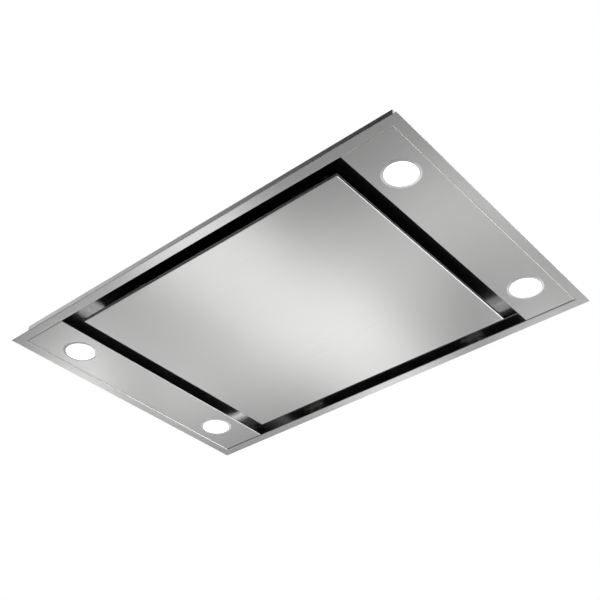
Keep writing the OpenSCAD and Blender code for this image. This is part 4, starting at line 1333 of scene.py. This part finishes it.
@dataclass(frozen=True)
class StandingBox:
    """An upright lamp that faces the hood: the sector it fills, in degrees from +X, and its heights."""

    name: str
    sector: Pair
    away: float
    heights: Pair
    glow: float


@dataclass
class Studio:
    """Plain pale floor, white surroundings, soft lamps, a dark card, and the camera under the hood."""

    floor_z: float = -2.4
    floor_size: float = 18
    floor_tones: Pair = (0.495, 0.505)
    camera_at: Point = (0.995, -1.182, -1.114)
    look: Point = (-0.5178, 0.6083, 0.6016)
    lens: float = 61.47
    shift: float = 0.0185
    sensor: float = 36
    sight: float = 200
    sky: float = 0.72
    card_at: Point = (-3.5, -4, 2.2)
    card_size: Pair = (13, 9.2)
    card_fade: tuple[Point, Point, Point] = ((-0.439, 1, 0.439), (0, 0.503, 0), (-2.077, 0, 0))
    card_tones: Pair = (0.01, 0.92)
    box_lift: float = 0.01
    boxes: tuple[SoftBox, ...] = (
        SoftBox("long_strip", (-2.41, -1.69), (0.93, 3.93), 1.23),
        SoftBox("second_strip", (-3.39, -2.95), (1.81, 2.93), 0.72),
        SoftBox("third_strip", (-2.91, -2.33), (1.49, 2.99), 0.39),
        SoftBox("cross_strip", (-6.18, -1.21), (2.56, 2.86), 0.86),
        SoftBox("far_strip", (-3.98, -3.27), (1.95, 2.25), 3.18),
        SoftBox("end_strip", (-1.33, 0.08), (4.04, 6.05), 2.32),
        SoftBox("tail_strip", (-2.86, -1.31), (4.91, 7.88), 2.46),
        SoftBox("short_strip", (-1.66, 0.6), (1.98, 2.6), 0.74),
        SoftBox("short_glow", (-1.06, 0.9), (1.97, 2.27), 0.53),
        SoftBox("gap_box", (-1.48, -1.04), (3.79, 4.11), 2.93),
        SoftBox("edge_box", (1.4, 3.8), (1.7, 4.6), 4.6),
        SoftBox("seam_box", (-1.9, -0.2), (-3.9, -2.5), 2.0),
    )
    uprights: tuple[StandingBox, ...] = (
        StandingBox("back_box", (105, 148), 8.0, (1.0, 7.5), 2.4),
        StandingBox("fold_box", (34, 55), 8.5, (-2.3, 1.0), 4.0),
    )

    def camera(self) -> None:
        """Sets the camera where the photograph was taken from, with depth of field off."""
        data = bpy.data.cameras.new("camera")
        data.lens = self.lens
        data.sensor_width = self.sensor
        data.shift_x = self.shift
        data.clip_end = self.sight
        data.dof.use_dof = False
        eye = bpy.data.objects.new("camera", data)
        bpy.context.collection.objects.link(eye)
        eye.location = self.camera_at
        eye.rotation_mode = "QUATERNION"
        eye.rotation_quaternion = Vector(self.look).to_track_quat("-Z", "Y")
        bpy.context.scene.camera = eye

    def floor(self) -> None:
        """Lays a pale floor far below, out of the camera's view."""
        rest_tools()
        bpy.ops.mesh.primitive_plane_add(size=self.floor_size, location=(0, 0, self.floor_z))
        slab = bpy.context.object
        slab.name = "studio_floor"
        coat = Coat("studio_floor")
        coat.set(Roughness=0.9, Specular_IOR_Level=0.0)
        coat.tint(coat.noise(1.5, 3), "Fac", *map(grey, self.floor_tones))
        slab.data.materials.append(coat.material)

    def surroundings(self) -> None:
        """White where the camera, gloss or glass looks, and a plain level where it lights the object."""
        world = bpy.data.worlds.new("surroundings")
        world.use_nodes = True
        tree = world.node_tree
        tree.nodes.clear()
        new, link = tree.nodes.new, tree.links.new
        out, mix, path = new("ShaderNodeOutputWorld"), new("ShaderNodeMixShader"), new("ShaderNodeLightPath")
        for into, strength in ((1, self.sky), (2, 1.0)):
            level = new("ShaderNodeBackground")
            level.inputs["Color"].default_value = (1, 1, 1, 1)
            level.inputs["Strength"].default_value = strength
            link(level.outputs[0], mix.inputs[into])
        seen = path.outputs["Is Camera Ray"]
        for ray in ("Is Glossy Ray", "Is Transmission Ray"):
            either = new("ShaderNodeMath")
            either.operation = "MAXIMUM"
            link(seen, either.inputs[0])
            link(path.outputs[ray], either.inputs[1])
            seen = either.outputs[0]
        link(seen, mix.inputs[0])
        link(mix.outputs[0], out.inputs["Surface"])
        bpy.context.scene.world = world

    def hang(self, name: str, size: Pair, glow: float, at: Point, turn: Point) -> bpy.types.Object:
        """Hangs a rectangular lamp, out of the camera's sight.

        Args:
            name: Name of the lamp.
            size: Its two sides.
            glow: How bright its face is, where 1 is white.
            at: Its middle.
            turn: Its turn about X, Y and Z, from facing down.

        Returns:
            The lamp.
        """
        data = bpy.data.lights.new(name, "AREA")
        data.shape = "RECTANGLE"
        data.size, data.size_y = size
        data.energy = glow * math.pi * size[0] * size[1]
        lamp = bpy.data.objects.new(name, data)
        bpy.context.collection.objects.link(lamp)
        lamp.location = at
        lamp.rotation_euler = turn
        lamp.visible_camera = False
        return lamp

    def lamp(self, box: SoftBox, lift: float) -> None:
        """Sets a soft box a little above the floor, facing up.

        Args:
            box: The soft box.
            lift: Its height above the floor.
        """
        size = (box.x[1] - box.x[0], box.y[1] - box.y[0])
        middle = (sum(box.x) / 2, sum(box.y) / 2, self.floor_z + lift)
        self.hang(box.name, size, box.glow, middle, (math.pi, 0, 0))

    def upright(self, box: StandingBox) -> None:
        """Stands a lamp on its edge, turned to the hood and lighting its gloss alone.

        Args:
            box: The lamp.
        """
        low, high = map(math.radians, box.sector)
        middle = (low + high) / 2
        size = (2 * box.away * math.tan((high - low) / 2), box.heights[1] - box.heights[0])
        at = (box.away * math.cos(middle), box.away * math.sin(middle), sum(box.heights) / 2)
        lamp = self.hang(box.name, size, box.glow, at, (math.pi / 2, 0, middle + math.pi / 2))
        lamp.visible_diffuse = False

    def dark_card(self) -> None:
        """Stands a graded dark card behind the camera, seen in gloss alone, for the steel's dark edges."""
        card = Workpiece.start(
            "dark_card", bpy.ops.mesh.primitive_plane_add, (*self.card_size, 1),
            size=1, location=self.card_at, rotation=(-math.pi / 2, 0, 0),
        ).obj
        coat = Coat("dark_card")
        coat.set(Base_Color=(0, 0, 0, 1), Roughness=1.0, Specular_IOR_Level=0.0, Emission_Strength=1.0)
        slope = coat.add("ShaderNodeTexGradient", gradient_type="LINEAR")
        coat.wire(coat.place(*self.card_fade), "Vector", slope, "Vector")
        coat.glow(slope, *map(grey, self.card_tones))
        card.data.materials.append(coat.material)
        card.visible_camera = card.visible_diffuse = card.visible_shadow = False

    def build(self) -> None:
        """Sets up the studio; the view transform is the plain one."""
        self.camera()
        self.floor()
        self.dark_card()
        self.surroundings()
        for k, box in enumerate(self.boxes, 1):
            self.lamp(box, self.box_lift * k)
        for box in self.uprights:
            self.upright(box)
        bpy.context.scene.view_settings.view_transform = "Standard"


def main() -> None:
    """Sets up the studio, builds the sub-assemblies in order and dresses the solids that stay."""
    logging.basicConfig(level=logging.INFO, format="%(message)s")
    Studio().build()
    finishes = Finishes()
    for part in (FaceFrame(), LightPanels(), CentralPanel(), Spots(), GreaseFilters(), DeckScrews()):
        part.build(finishes)
    carry_over(finishes)
    rest_tools()


if __name__ == "__main__":
    main()
